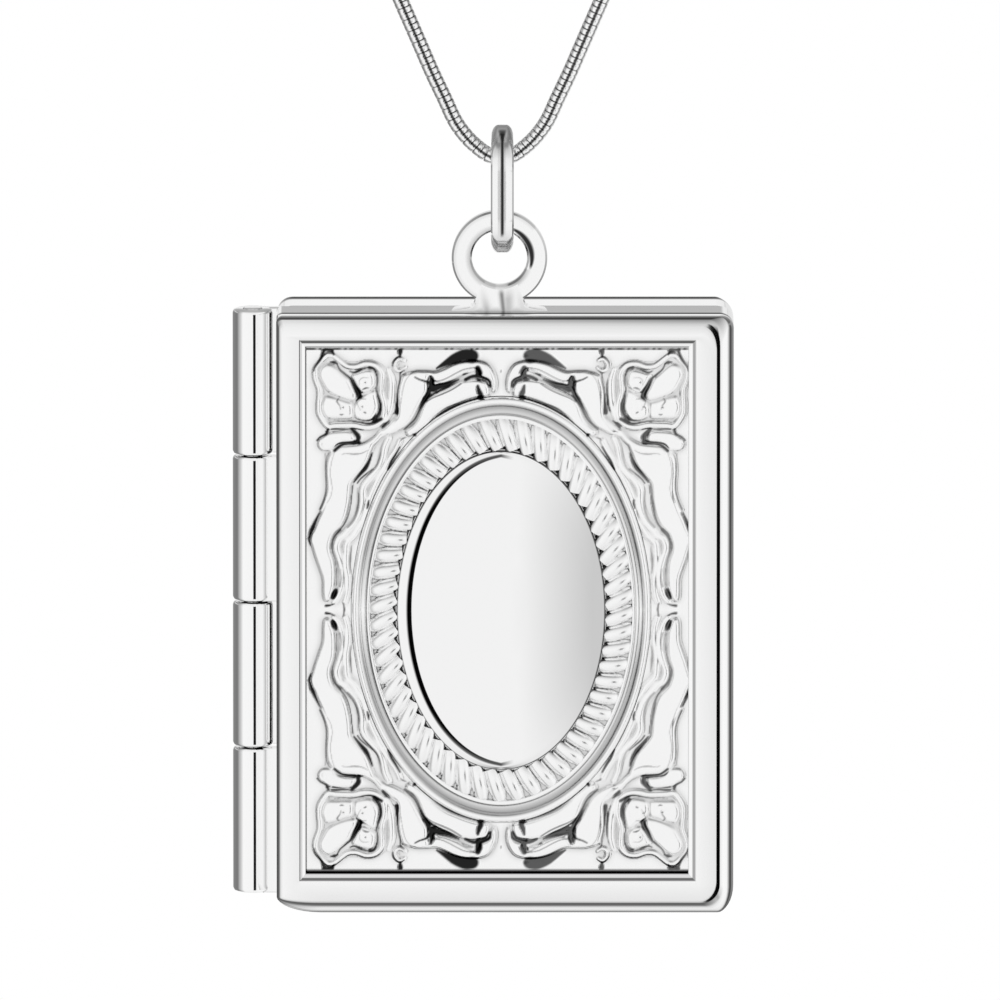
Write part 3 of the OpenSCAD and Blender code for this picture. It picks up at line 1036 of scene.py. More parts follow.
    def eye(self, bm: bmesh.types.BMesh) -> None:
        """Add the hanging eye, whose face is flat with cut edges."""
        section = wire_section(self.eye_wire / 2, self.eye_flat, 15)
        around, across = 120, len(section)

        def ring(i: int, j: int) -> Vector:
            """Give a point of the eye."""
            turn, (out, front) = FULL_TURN * i / around, section[j % across]
            return spot(self.eye_x + (self.eye_r + out) * math.cos(turn), -front,
                        self.eye_z + (self.eye_r + out) * math.sin(turn))

        part = bmesh.new()
        sheet(part, around, across, ring,
              lambda i, j: self.eye_shade(math.degrees(FULL_TURN * i / around), *section[j % across]))
        weld(part, closed=False)
        join(bm, part)

    def eye_shade(self, turn: float, out: float, front: float) -> float:
        """Paint shade on the eye's edges, and a dark crescent of painted shade and reflection by the
        hole.

        Args:
            turn: Turn round the eye from its right side.
            out: Distance outward from the wire's middle.
            front: Distance forward from it.

        Returns:
            The darkness.
        """
        half = self.eye_wire / 2
        turn = turn - 360 if turn > 270 else turn
        reach = max(1 - ((turn - self.crescent_turn) / self.crescent_reach) ** 2, 0)
        # The dark crescent beside the hole is painted shade and painted reflection.
        if front > 0.4 and reach > 0 and out < 0:
            across = max(1 - ((out + 0.3) / (0.05 + 0.17 * reach)) ** 2, 0)
            return min(1.2 * across, min(3 * reach, 1))
        if front <= 0:
            return 0.0
        # The eye's inner and outer edges get painted shade.
        inner = 0.4 if 75 < turn < 262 else 0.25 + 0.35 * bell(turn % 360 - 308, 25)
        outer = 0.2 if turn > 40 else 0.0
        return max(inner * clamp((-out / half - 0.3) / 0.5), outer * clamp((out / half - 0.45) / 0.4))

    def foot(self, bm: bmesh.types.BMesh) -> None:
        """Add the soldered foot that joins the eye to the top wall."""
        base, wide, rows, cols = CASE.top - 0.05, self.foot_z[-1][0], 14, 96

        def place(i: int, j: int) -> Vector:
            """Give a point of the foot, section by section from left to right."""
            x = wide * (2 * i / cols - 1)
            top = (self.eye_z - math.sqrt(self.foot_r**2 - x**2) if abs(x) < self.foot_arc
                   else float(np.interp(abs(x), *zip(*self.foot_z))))
            rise = min(j, 2 * rows - j) / rows
            thick = self.eye_wire / 2 + 0.003 + 0.1 * max(1 - rise * (top - base) / 0.5, 0) ** 2
            side = -1 if j < rows else 1 if j > rows else 0
            return spot(self.eye_x + x, side * thick, mix(base, top, rise))

        def crease(i: int, j: int) -> float:
            """Paint shade into the crease where the eye's wire ends meet, and along the solder's
            edge.
            """
            x, rise = wide * (2 * i / cols - 1), j / rows
            if j >= rows:
                return 0.0
            down = 1 - rise
            line = 0.75 * bell(x - 0.08 - 0.15 * down, 0.15) * min(4 * down, 1)
            right = 0.4 * bell(x - 0.5, 0.3) * min(2 * down, 1)
            left = 0.5 * bell(x + 1.0 - 0.3 * down, 0.25) * down**1.5
            sides = 0.2 * clamp((abs(x + 0.1) - 0.95) / 0.4) * min(2 * down, 1)
            return max(line, right, left, sides, 0.4 * max(1 - rise * 5, 0))

        part = bmesh.new()
        sheet(part, cols, 2 * rows, place, crease)
        weld(part)
        join(bm, part)


@dataclass
class BackCover:
    """The back half of the case, with its snap rim and two knuckles.

    Attributes:
        corners: Width and height of the corners, from the top right one round by the left.
        edge: Width of the rounded edge at the left, right, bottom and top.
        deep: Depth of the rounded edge.
        steps: Steps of the rounded edge.
        lean: How much the top wall drops towards the back.
        top_dark: Painted shade on the rounded top edge, in place of its dark reflection.
        rim_gap: Gap between the snap rim and the front cover's walls.
        rim_w: Thickness of the snap rim.
    """

    corners: Corners = ((1.0, 1.0), (0.9, 0.9), (2.5, 0.95), (0.9, 1.5))
    edge: Sides = (0.05, 0.75, 0.72, 0.065)
    deep: float = 1.3
    steps: int = 12
    lean: float = 0.02
    top_dark: float = 0.85
    rim_gap: float = 0.07
    rim_w: float = 0.3

    def build(self) -> bpy.types.Object:
        """Build the back cover.

        Returns:
            The object.
        """
        bm = bmesh.new()
        corners = self.corners
        levels = well_levels(1, CASE.back - CASE.wall, corners)
        for k in range(self.steps + 1):
            a = math.radians(90 * k / self.steps)
            inset = [width * (1 - math.cos(a)) for width in self.edge]
            inset[3] += self.lean
            # The rounded top edge gets painted shade in place of its dark reflected outline.
            dark = (0, 0, 0, self.top_dark if k > 2 else 0.3 * k)
            y = CASE.back - self.deep * (1 - math.sin(a))
            levels.append(Level(y, tuple(inset), corners, dark))
        face = tuple(width + 0.08 for width in levels[-1].inset)
        levels.append(Level(CASE.back, face, corners))
        cover_tray(bm, levels)
        self.rim(bm)
        for index in (0, 2):
            knuckle(bm, index, 1)
        return Piece("case_back", "back_cover", Body.BACK, POLISHED_SILVER).dress(bm, FINE_WELD)

    def rim(self, bm: bmesh.types.BMesh) -> None:
        """Add the thin rim that snaps into the front cover, on the three sides off the hinge."""
        inset, thick = CASE.wall + self.rim_gap, self.rim_w
        left, right = CASE.left + CASE.wall + 1.2, CASE.right - inset
        low, high = CASE.bottom + inset, CASE.top - inset
        for x, z in (((right - thick, right), (low, high)), ((left, right), (low, low + thick)),
                     ((left, right), (high - thick, high))):
            box(bm, x, (CASE.part - 0.5, CASE.part + 0.4), z, 0.04)


@dataclass
class HingePin:
    """The wire through the knuckles.

    Attributes:
        steps: Faces round the wire.
        soft: Width of its rounded ends.
    """

    steps: int = 48
    soft: float = 0.08

    def build(self) -> bpy.types.Object:
        """Build the pin.

        Returns:
            The object.
        """
        bm = bmesh.new()
        length, r = CASE.knuckle * CASE.knuckles, CASE.pin_r * MM
        bmesh.ops.create_cone(bm, cap_ends=True, segments=self.steps, radius1=r, radius2=r,
                              depth=length * MM)
        ends = [edge for edge in bm.edges
                if abs(edge.verts[0].co.z - edge.verts[1].co.z) < 1e-9]
        soften_edges(bm, ends, self.soft, 3)
        middle = spot(CASE.hinge_x, CASE.part, CASE.barrel_top - length / 2)
        bmesh.ops.translate(bm, verts=bm.verts[:], vec=middle)
        return Piece("pin_wire", "hinge_pin", Body.FRONT, POLISHED_SILVER).dress(bm)


@dataclass(frozen=True)
class Oval:
    """The polished oval and the curves that run round it.

    Attributes:
        a: Half width of the polished plate.
        b: Half height of the polished plate.
        growth: How much faster the outer curves grow in height than in width.
        z: Height of its middle.
    """

    a: float = 6.0
    b: float = 9.3
    growth: float = 1.2
    z: float = -25.675

    def at(self, angle: float, out: float) -> tuple[float, float]:
        """Give a point that lies a distance outside the plate's edge.

        Args:
            angle: Turn round the oval, in radians.
            out: Distance outside the plate's edge.

        Returns:
            The point from the oval's middle, to the right and up.
        """
        return ((self.a + out) * math.cos(angle), (self.b + self.growth * out) * math.sin(angle))

    def place(self, angle: float, out: float, level: float) -> Vector:
        """Put such a point on the front of the case.

        Args:
            angle: Turn round the oval, in radians.
            out: Distance outside the plate's edge.
            level: Height above the border's face.

        Returns:
            The point in metres.
        """
        x, v = self.at(angle, out)
        return spot(x, CASE.front - level, self.z + v)


OVAL = Oval()


@dataclass
class OvalPlate:
    """The polished oval, dished along its edge.

    Attributes:
        steps: Steps round the oval.
        levels: Its rings, as the distance outside its edge and the level.
        slope: First and last ring of the slope's steep part, which gets a painted dark reflection.
        slope_at: Distance in to the slope, at the top and bottom and at the sides.
        slope_w: Width of the slope at the top and bottom, as a share of that at the sides.
        rim_dark: Painted shade on the edge, at the left and at the right.
        line: Darkness of the painted reflection line along the slope's left half.
        shade: Painted shade on the plate's right side.
        shade_x: Where that painted shade starts, and how wide its fade is.
    """

    steps: int = 192
    levels: Rows = (
        (-0.09, -0.75), (-0.09, -0.08), (-0.12, -0.05), (-0.17, -0.06), (-0.22, -0.074),
        (-0.3, -0.092), (-0.4, -0.113), (-0.5, -0.134), (-0.58, -0.151), (-0.63, -0.1605),
        (-0.69, -0.1699), (-0.75, -0.1775), (-0.81, -0.1832), (-0.87, -0.1867), (-0.92, -0.188),
        (-0.97, -0.1884), (-1.1, -0.1885), (-1.7, -0.1885), (-2.5, -0.1885), (-3.5, -0.1885),
        (-4.5, -0.1885), (-5.5, -0.1885))
    slope: tuple[int, int] = (9, 13)
    slope_at: tuple[float, float] = (-0.17, -0.5)
    slope_w: float = 0.6
    rim_dark: tuple[float, float] = (0.6, 0.9)
    line: float = 0.93
    shade: float = 0.36
    shade_x: tuple[float, float] = (1.0, 4.2)

    def build(self) -> bpy.types.Object:
        """Build the plate.

        Returns:
            The object.
        """
        bm = bmesh.new()
        sheet(bm, self.steps, len(self.levels) - 1, self.place, self.darkness)
        weld(bm)
        piece = Piece("polished_oval", "oval_plate", Body.FRONT, MIRROR_SILVER, even=False)
        return piece.dress(bm)

    def place(self, i: int, j: int) -> Vector:
        """Give a point of the plate, whose slope is narrower at its top and bottom."""
        angle = FULL_TURN * i / self.steps
        out, level = self.levels[j]
        side, rim, start = abs(math.cos(angle)) ** 0.8, self.levels[2][0], self.slope_at[1]
        if j > 2:
            first = mix(*self.slope_at, side)
            near = rim + (out - rim) * (first - rim) / (start - rim)
            far = first + (out - start) * mix(self.slope_w, 1, side)
            out = mix(near if out > start else far, out, clamp(-out - 1))
        return OVAL.place(angle, out, level)

    def darkness(self, i: int, j: int) -> float:
        """Paint shade on the plate's edge, a dark reflection line on its slope, and soft shade at its
        right.
        """
        angle = FULL_TURN * i / self.steps
        x, v = OVAL.at(angle, self.levels[j][0])
        if j in (1, 2):
            return mix(*self.rim_dark, (1 + math.cos(angle)) / 2)
        if self.slope[0] <= j <= self.slope[1]:
            line = self.line * clamp((0.12 - math.cos(angle)) / 0.12)
            if line:
                return line * (0.6 if j in self.slope else 1)
        start, fade = self.shade_x
        return self.shade * clamp((x - start) / fade) * max(1 - (v / OVAL.b) ** 4, 0)


@dataclass
class RopeFrame:
    """The mouldings and the twisted rope round the oval.

    Attributes:
        steps: Steps round the oval.
        strands: Turns of the rope.
        lean: How far a strand's inner end is turned on, in strands.
        rope_in: Distance outside the plate's edge to the rope's inner side.
        rope_out: The same to its outer side.
        rope_floor: Level below the strands.
        rope_top: Level of the strands' tops.
        strand_w: Width of a strand.
        cells: Steps along a strand and across it.
        dark: Painted shade at the profile's corners, by number.
        valley: Painted shade in the wide hollow, which is left bright at the far left and right.
        profile: The mouldings' section, as the distance outside the edge and the level.
    """

    steps: int = 192
    strands: int = 56
    lean: float = -0.75
    rope_in: float = -0.03
    rope_out: float = 1.5
    rope_floor: float = -0.42
    rope_top: float = 0.1
    strand_w: float = 1.0
    cells: int = 10
    dark: dict[int, float] = field(default_factory=lambda: {
        14: 0.15, 15: 0.2, 19: 0.3, 20: 0.5, 21: 0.3, 22: 0.3, 0: 1.0})
    valley: dict[int, float] = field(default_factory=lambda: {
        7: 0.15, 8: 0.35, 9: 0.5, 10: 0.55, 11: 0.5, 12: 0.35, 13: 0.15})
    profile: Rows = (
        (-0.06, -0.75), (2.5, -0.75), (2.5, -0.3), (2.47, -0.2), (2.42, -0.12), (2.35, -0.075),
        (2.27, -0.06), (2.19, -0.09), (2.12, -0.16), (2.06, -0.27), (2.02, -0.32), (1.94, -0.345),
        (1.84, -0.335), (1.74, -0.3), (1.67, -0.24), (1.63, -0.15), (1.58, -0.12), (1.5, -0.12),
        (1.45, -0.15), (1.41, -0.42), (0.0, -0.42), (-0.02, -0.21), (-0.06, -0.21))

    def build(self) -> bpy.types.Object:
        """Build the mouldings and the rope.

        Returns:
            The object.
        """
        bm = bmesh.new()
        part = bmesh.new()
        count = len(self.profile)
        sheet(part, self.steps, count,
              lambda i, j: OVAL.place(FULL_TURN * i / self.steps, *self.profile[j % count]),
              # Painted shade along the mouldings' corners and in their hollow.
              lambda i, j: self.dark.get(j % count, 0.0) or self.valley.get(j % count, 0.0)
              * min(abs(math.sin(FULL_TURN * i / self.steps)) / 0.3, 1))
        weld(part, closed=False)
        join(bm, part)
        for k in range(self.strands):
            self.strand(bm, k)
        piece = Piece("rope_border", "rope_frame", Body.FRONT, CAST_SILVER, even=False)
        return piece.dress(bm, FINEST_WELD)

    @cached_property
    def runs(self) -> tuple[list[float], list[float]]:
        """Lengths along the rope's middle, and the angles that they belong to."""
        samples = 360
        angles = [FULL_TURN * i / samples for i in range(samples + 1)]
        points = [OVAL.at(angle, self.rope_out / 2) for angle in angles]
        lengths = [0.0]
        for a, b in zip(points, points[1:]):
            lengths.append(lengths[-1] + math.dist(a, b))
        return lengths, angles

    def turn(self, k: float) -> float:
        """Give the angle of a strand, so that the strands stand evenly along the rope."""
        whole, share = divmod(k / self.strands, 1)
        return float(np.interp(share * self.runs[0][-1], *self.runs)) + whole * FULL_TURN

    def strand(self, bm: bmesh.types.BMesh, k: int) -> None:
        """Add one turn of the rope, whose inner end is a little further round."""
        inner = Vector(OVAL.at(self.turn(k + self.lean), self.rope_in))
        outer = Vector(OVAL.at(self.turn(k), self.rope_out))
        way = (outer - inner).normalized()
        side = Vector((-way.y, way.x))
        last = self.cells

        def place(i: int, j: int) -> Vector:
            """Give a point of the rounded strand."""
            t, round_s = j / last, math.sin((2 * i / last - 1) * math.pi / 2)
            swell = math.sin(math.pi * mix(0.16, 0.94, t)) ** 0.45
            half = self.strand_w / 2 * mix(0.55, 1, swell)
            up = mix(-0.1, 1, (1 - abs(round_s) ** 2.4) ** 0.6 * swell)
            q = inner + (outer - inner) * t + side * (round_s * half)
            return spot(q.x, CASE.front - mix(self.rope_floor, self.rope_top, up), OVAL.z + q.y)

        def shade(i: int, j: int) -> float:
            """Paint shade into the gaps between the strands, most of all at their inner ends."""
            if i in (0, last):
                return 0.95 if 0 < j < 6 else 0.3
            return 0.7 if i in (1, last - 1) and 1 < j < 5 else 0.0

        part = bmesh.new()
        sheet(part, last, last, place, shade)
        close_holes(part)
        join(bm, part)


@dataclass(frozen=True)
class Pillow:
    """A raised shape of the relief with a flat top, inside a closed outline.

    Attributes:
        tall: Height of its top.
        edge: Width of its rounded edge.
        points: The outline, as distances to the right of and above the oval's middle.
    """

    tall: float
    edge: float
    points: tuple[float, ...]


@dataclass(frozen=True)
class Band:
    """A raised round band of the relief, along an open line.

    Attributes:
        half: Half of its width.
        tall: Its height.
        points: The line.
    """

    half: float
    tall: float
    points: tuple[float, ...]


@dataclass(frozen=True)
class Cut:
    """A sharp cut line of the relief.

    Attributes:
        start: Half width at its start.
        middle: Half width at its middle.
        end: Half width at its end.
        dark: How deep it is and how dark its painted shade is, up to one.
        points: The line.
    """

    start: float
    middle: float
    end: float
    dark: float
    points: tuple[float, ...]


PILLOWS = (
    # tongue
    Pillow(0.27, 0.21, (
        -9.71, 14.23, -9.31, 14.01, -8.91, 13.64, -8.58, 13.32, -8.36, 12.85, -8.16, 12.48,
        -8.28, 12.04, -8.83, 12.08, -9.47, 12.32, -9.91, 12.61, -10.19, 13.05, -10.37,
        13.46, -10.33, 13.86, -10.07, 14.15)),
    # lobe high
    Pillow(0.26, 0.18, (
        -8.52, 13.54, -8.12, 13.74, -7.52, 13.88, -7.24, 13.74, -7.12, 13.38, -7.14, 12.93,
        -7.48, 12.57, -7.88, 12.48, -8.16, 12.77, -8.36, 13.13)),
    # lobe right
    Pillow(0.25, 0.21, (
        -7.88, 12.36, -7.48, 12.65, -7.12, 12.65, -6.96, 12.08, -6.92, 11.67, -7.08, 11.23,
        -7.4, 10.9, -7.92, 10.9, -8.36, 11.11, -8.44, 11.67, -8.24, 12.08)),
    # lobe low
    Pillow(0.25, 0.21, (
        -9.47, 12.32, -8.83, 12.12, -8.4, 11.92, -8.36, 11.19, -8.6, 10.99, -9.31, 10.99,
        -9.91, 11.03, -10.19, 11.43, -10.21, 11.92, -9.99, 12.36)),
    # pod
    Pillow(0.24, 0.15, (
        -10.33, 9.67, -10.11, 10.02, -9.73, 10.25, -9.04, 10.33, -8.51, 10.29, -8.28, 9.98,
        -8.36, 9.69, -8.89, 9.63, -9.27, 9.51, -9.54, 9.2, -9.92, 9.13, -10.22, 9.24)),
    # leaf b
    Pillow(0.34, 0.18, (
        -9.35, 9.32, -8.81, 9.53, -8.28, 9.57, -7.82, 9.63, -7.48, 9.75, -7.18, 9.9, -7.21,
        9.4, -7.37, 9.01, -7.52, 8.58, -7.75, 8.16, -8.09, 7.77, -8.41, 7.35, -8.49, 7.08,
        -8.53, 6.5, -8.6, 5.99, -8.76, 5.33, -9.02, 4.83, -9.42, 4.41, -9.54, 4.18, -9.65,
        3.79, -9.63, 3.4, -9.46, 2.86, -9.39, 2.24, -9.4, 1.59, -9.46, 1.16, -9.65, 0.62,
        -9.88, 0.43, -10.11, 0.54, -10.18, 1.01, -10.2, 1.78, -10.39, 2.4, -10.6, 3.02,
        -10.77, 3.6, -10.89, 4.02, -10.79, 4.49, -10.68, 4.64, -10.45, 5.22, -10.14, 5.91,
        -9.92, 6.57, -9.9, 7.08, -9.92, 7.66, -9.94, 8.43, -9.84, 8.89, -9.57, 9.2)),
    # leaf a
    Pillow(0.34, 0.18, (
        -5.65, 13.55, -4.99, 13.79, -4.24, 13.79, -4.05, 13.51, -4.12, 13.17, -4.14, 12.59,
        -4.43, 12.07, -4.68, 11.59, -4.92, 11.11, -5.18, 10.73, -5.6, 10.39, -6.31, 10.06,
        -6.59, 10.2, -6.22, 10.77, -5.91, 11.25, -5.86, 11.92, -5.8, 12.59, -5.72, 13.17)),
    # hook
    Pillow(0.36, 0.15, (
        -4.99, 13.79, -4.24, 13.82, -3.72, 13.79, -3.2, 13.94, -2.68, 14.15, -2.12, 14.31,
        -1.32, 14.37, -0.8, 14.25, -0.47, 13.89, -0.28, 13.36, -0.28, 12.69, -0.51, 12.5,
        -0.61, 12.88, -0.75, 13.27, -1.13, 13.46, -1.46, 13.89, -1.98, 13.65, -2.45, 13.39,
        -2.92, 13.17, -3.39, 13.03, -3.81, 13.17, -4.05, 13.46, -4.52, 13.46)),
    # low leaf
    Pillow(0.33, 0.156, (
        -5.46, 10.34, -4.99, 10.73, -4.66, 11.25, -4.43, 11.88, -4.1, 12.31, -3.58, 12.62,
        -2.96, 12.86, -2.4, 13.15, -1.88, 13.27, -1.32, 13.29, -0.84, 13.17, -0.66, 12.88,
        -0.61, 12.5, -0.75, 12.31, -1.17, 12.26, -1.36, 12.26, -1.88, 12.12, -2.49, 11.88,
        -3.15, 11.59, -3.72, 11.16, -4.1, 10.73, -4.61, 10.3, -5.23, 9.96)),
    # bud low
    Pillow(0.35, 0.34, (
        -8.73, 11.7, -8.83, 11.94, -9.07, 12.04, -9.31, 11.94, -9.41, 11.7, -9.31, 11.46,
        -9.07, 11.36, -8.83, 11.46)),
    # bud right
    Pillow(0.35, 0.34, (
        -7.64, 11.74, -7.74, 11.98, -7.98, 12.08, -8.22, 11.98, -8.32, 11.74, -8.22, 11.5,
        -7.98, 11.4, -7.74, 11.5)),
    # bud high
    Pillow(0.35, 0.34, (
        -7.46, 13.14, -7.56, 13.38, -7.8, 13.48, -8.04, 13.38, -8.14, 13.14, -8.04, 12.9,
        -7.8, 12.8, -7.56, 12.9)),
)

BANDS = (
    # flower rim
    Band(0.2, 0.33, (
        -9.83, 14.69, -10.15, 14.43, -10.47, 14.07, -10.57, 13.7, -10.51, 13.26, -10.33,
        12.77, -10.3, 12.32, -10.34, 11.84, -10.31, 11.35, -10.07, 10.9, -9.79, 10.6, -9.43,
        10.64, -8.91, 10.66, -8.32, 10.66, -7.88, 10.56, -7.4, 10.56, -7, 10.72, -6.7,
        11.07, -6.62, 11.51, -6.66, 12, -6.78, 12.48, -6.78, 13.05, -6.76, 13.58, -6.92,
        13.92, -7.24, 14.15, -7.72, 14.19, -8.2, 14.03, -8.68, 14.05, -8.99, 14.25, -9.31,
        14.51, -9.55, 14.67, -9.83, 14.69)),
    # flower outer
    Band(0.22, 0.26, (
        -6.4, 13.86, -6.24, 13.3, -6.22, 12.65, -6.28, 11.92, -6.4, 11.35, -6.56, 10.9)),
    # b left rim
    Band(0.16, 0.37, (
        -9.57, 9.17, -9.78, 8.7, -9.81, 8.04, -9.76, 7.27, -9.8, 6.73, -9.97, 6.26, -10.22,
        5.76)),
    # b top rim
    Band(0.24, 0.4, (
        -9.42, 9.13, -9.08, 9.3, -8.66, 9.32, -8.2, 9.34, -7.79, 9.42, -7.44, 9.59, -7.1,
        9.86, -6.76, 10.29)),
    # pod bud
    Band(0.16, 0.32, (
        -9.92, 9.86, -10.18, 9.78, -10.26, 9.55, -10.11, 9.32, -9.84, 9.32)),
    # a left rim
    Band(0.14, 0.37, (
        -5.08, 13.6, -5.46, 13.46, -5.64, 13.03, -5.74, 12.4, -5.81, 11.78)),
    # hook low band
    Band(0.16, 0.3, (
        -3.77, 13.07, -3.2, 13.22, -2.63, 13.46, -2.12, 13.7, -1.6, 13.84)),
    # hook band
    Band(0.2, 0.42, (
        -4.66, 13.65, -4.14, 13.63, -3.67, 13.6, -3.15, 13.77, -2.63, 14.01, -2.12, 14.15,
        -1.46, 14.2, -0.94, 14.08, -0.61, 13.74, -0.42, 13.27, -0.4, 12.79)),
    # low leaf band
    Band(0.13, 0.38, (
        -4.66, 10.97, -4.33, 11.73, -3.95, 12.21, -3.48, 12.5, -2.92, 12.74, -2.35, 13.03,
        -1.83, 13.15, -1.32, 13.17, -0.89, 13.03)),
    # inner curl
    Band(0.24, 0.3, (
        -6.38, 9.9, -6.61, 9.4, -6.72, 8.82, -6.91, 8.28, -7.33, 7.73, -7.71, 7.27, -7.86,
        6.88, -7.86, 6.3, -7.98, 5.72, -8.2, 5.22, -8.55, 4.75, -8.89, 4.33, -9.19, 4.1,
        -9.35, 3.6, -9.19, 3.02, -9.04, 2.4, -9.02, 1.78, -9.08, 1.2, -9.27, 0.7, -9.5, 0.43)),
    # inner wave
    Band(0.22, 0.28, (
        -5.74, 9.78, -6, 9.2, -6.3, 8.74, -6.57, 8.2, -6.91, 7.66, -7.21, 7.04, -7.44, 6.46,
        -7.6, 5.8, -7.75, 5.26, -8.05, 4.79, -8.36, 4.3, -8.74, 3.87, -8.81, 3.25, -8.81,
        2.55, -8.7, 1.78, -8.74, 1.01, -8.89, 0.43)),
    # a bud
    Band(0.14, 0.34, (
        -5.51, 14.37, -5.79, 14.49, -6.03, 14.22, -5.98, 13.89, -5.7, 13.79, -5.46, 13.98)),
    # stem
    Band(0.24, 0.34, (
        -6.78, 10.1, -6.31, 10.49, -5.93, 10.97)),
)

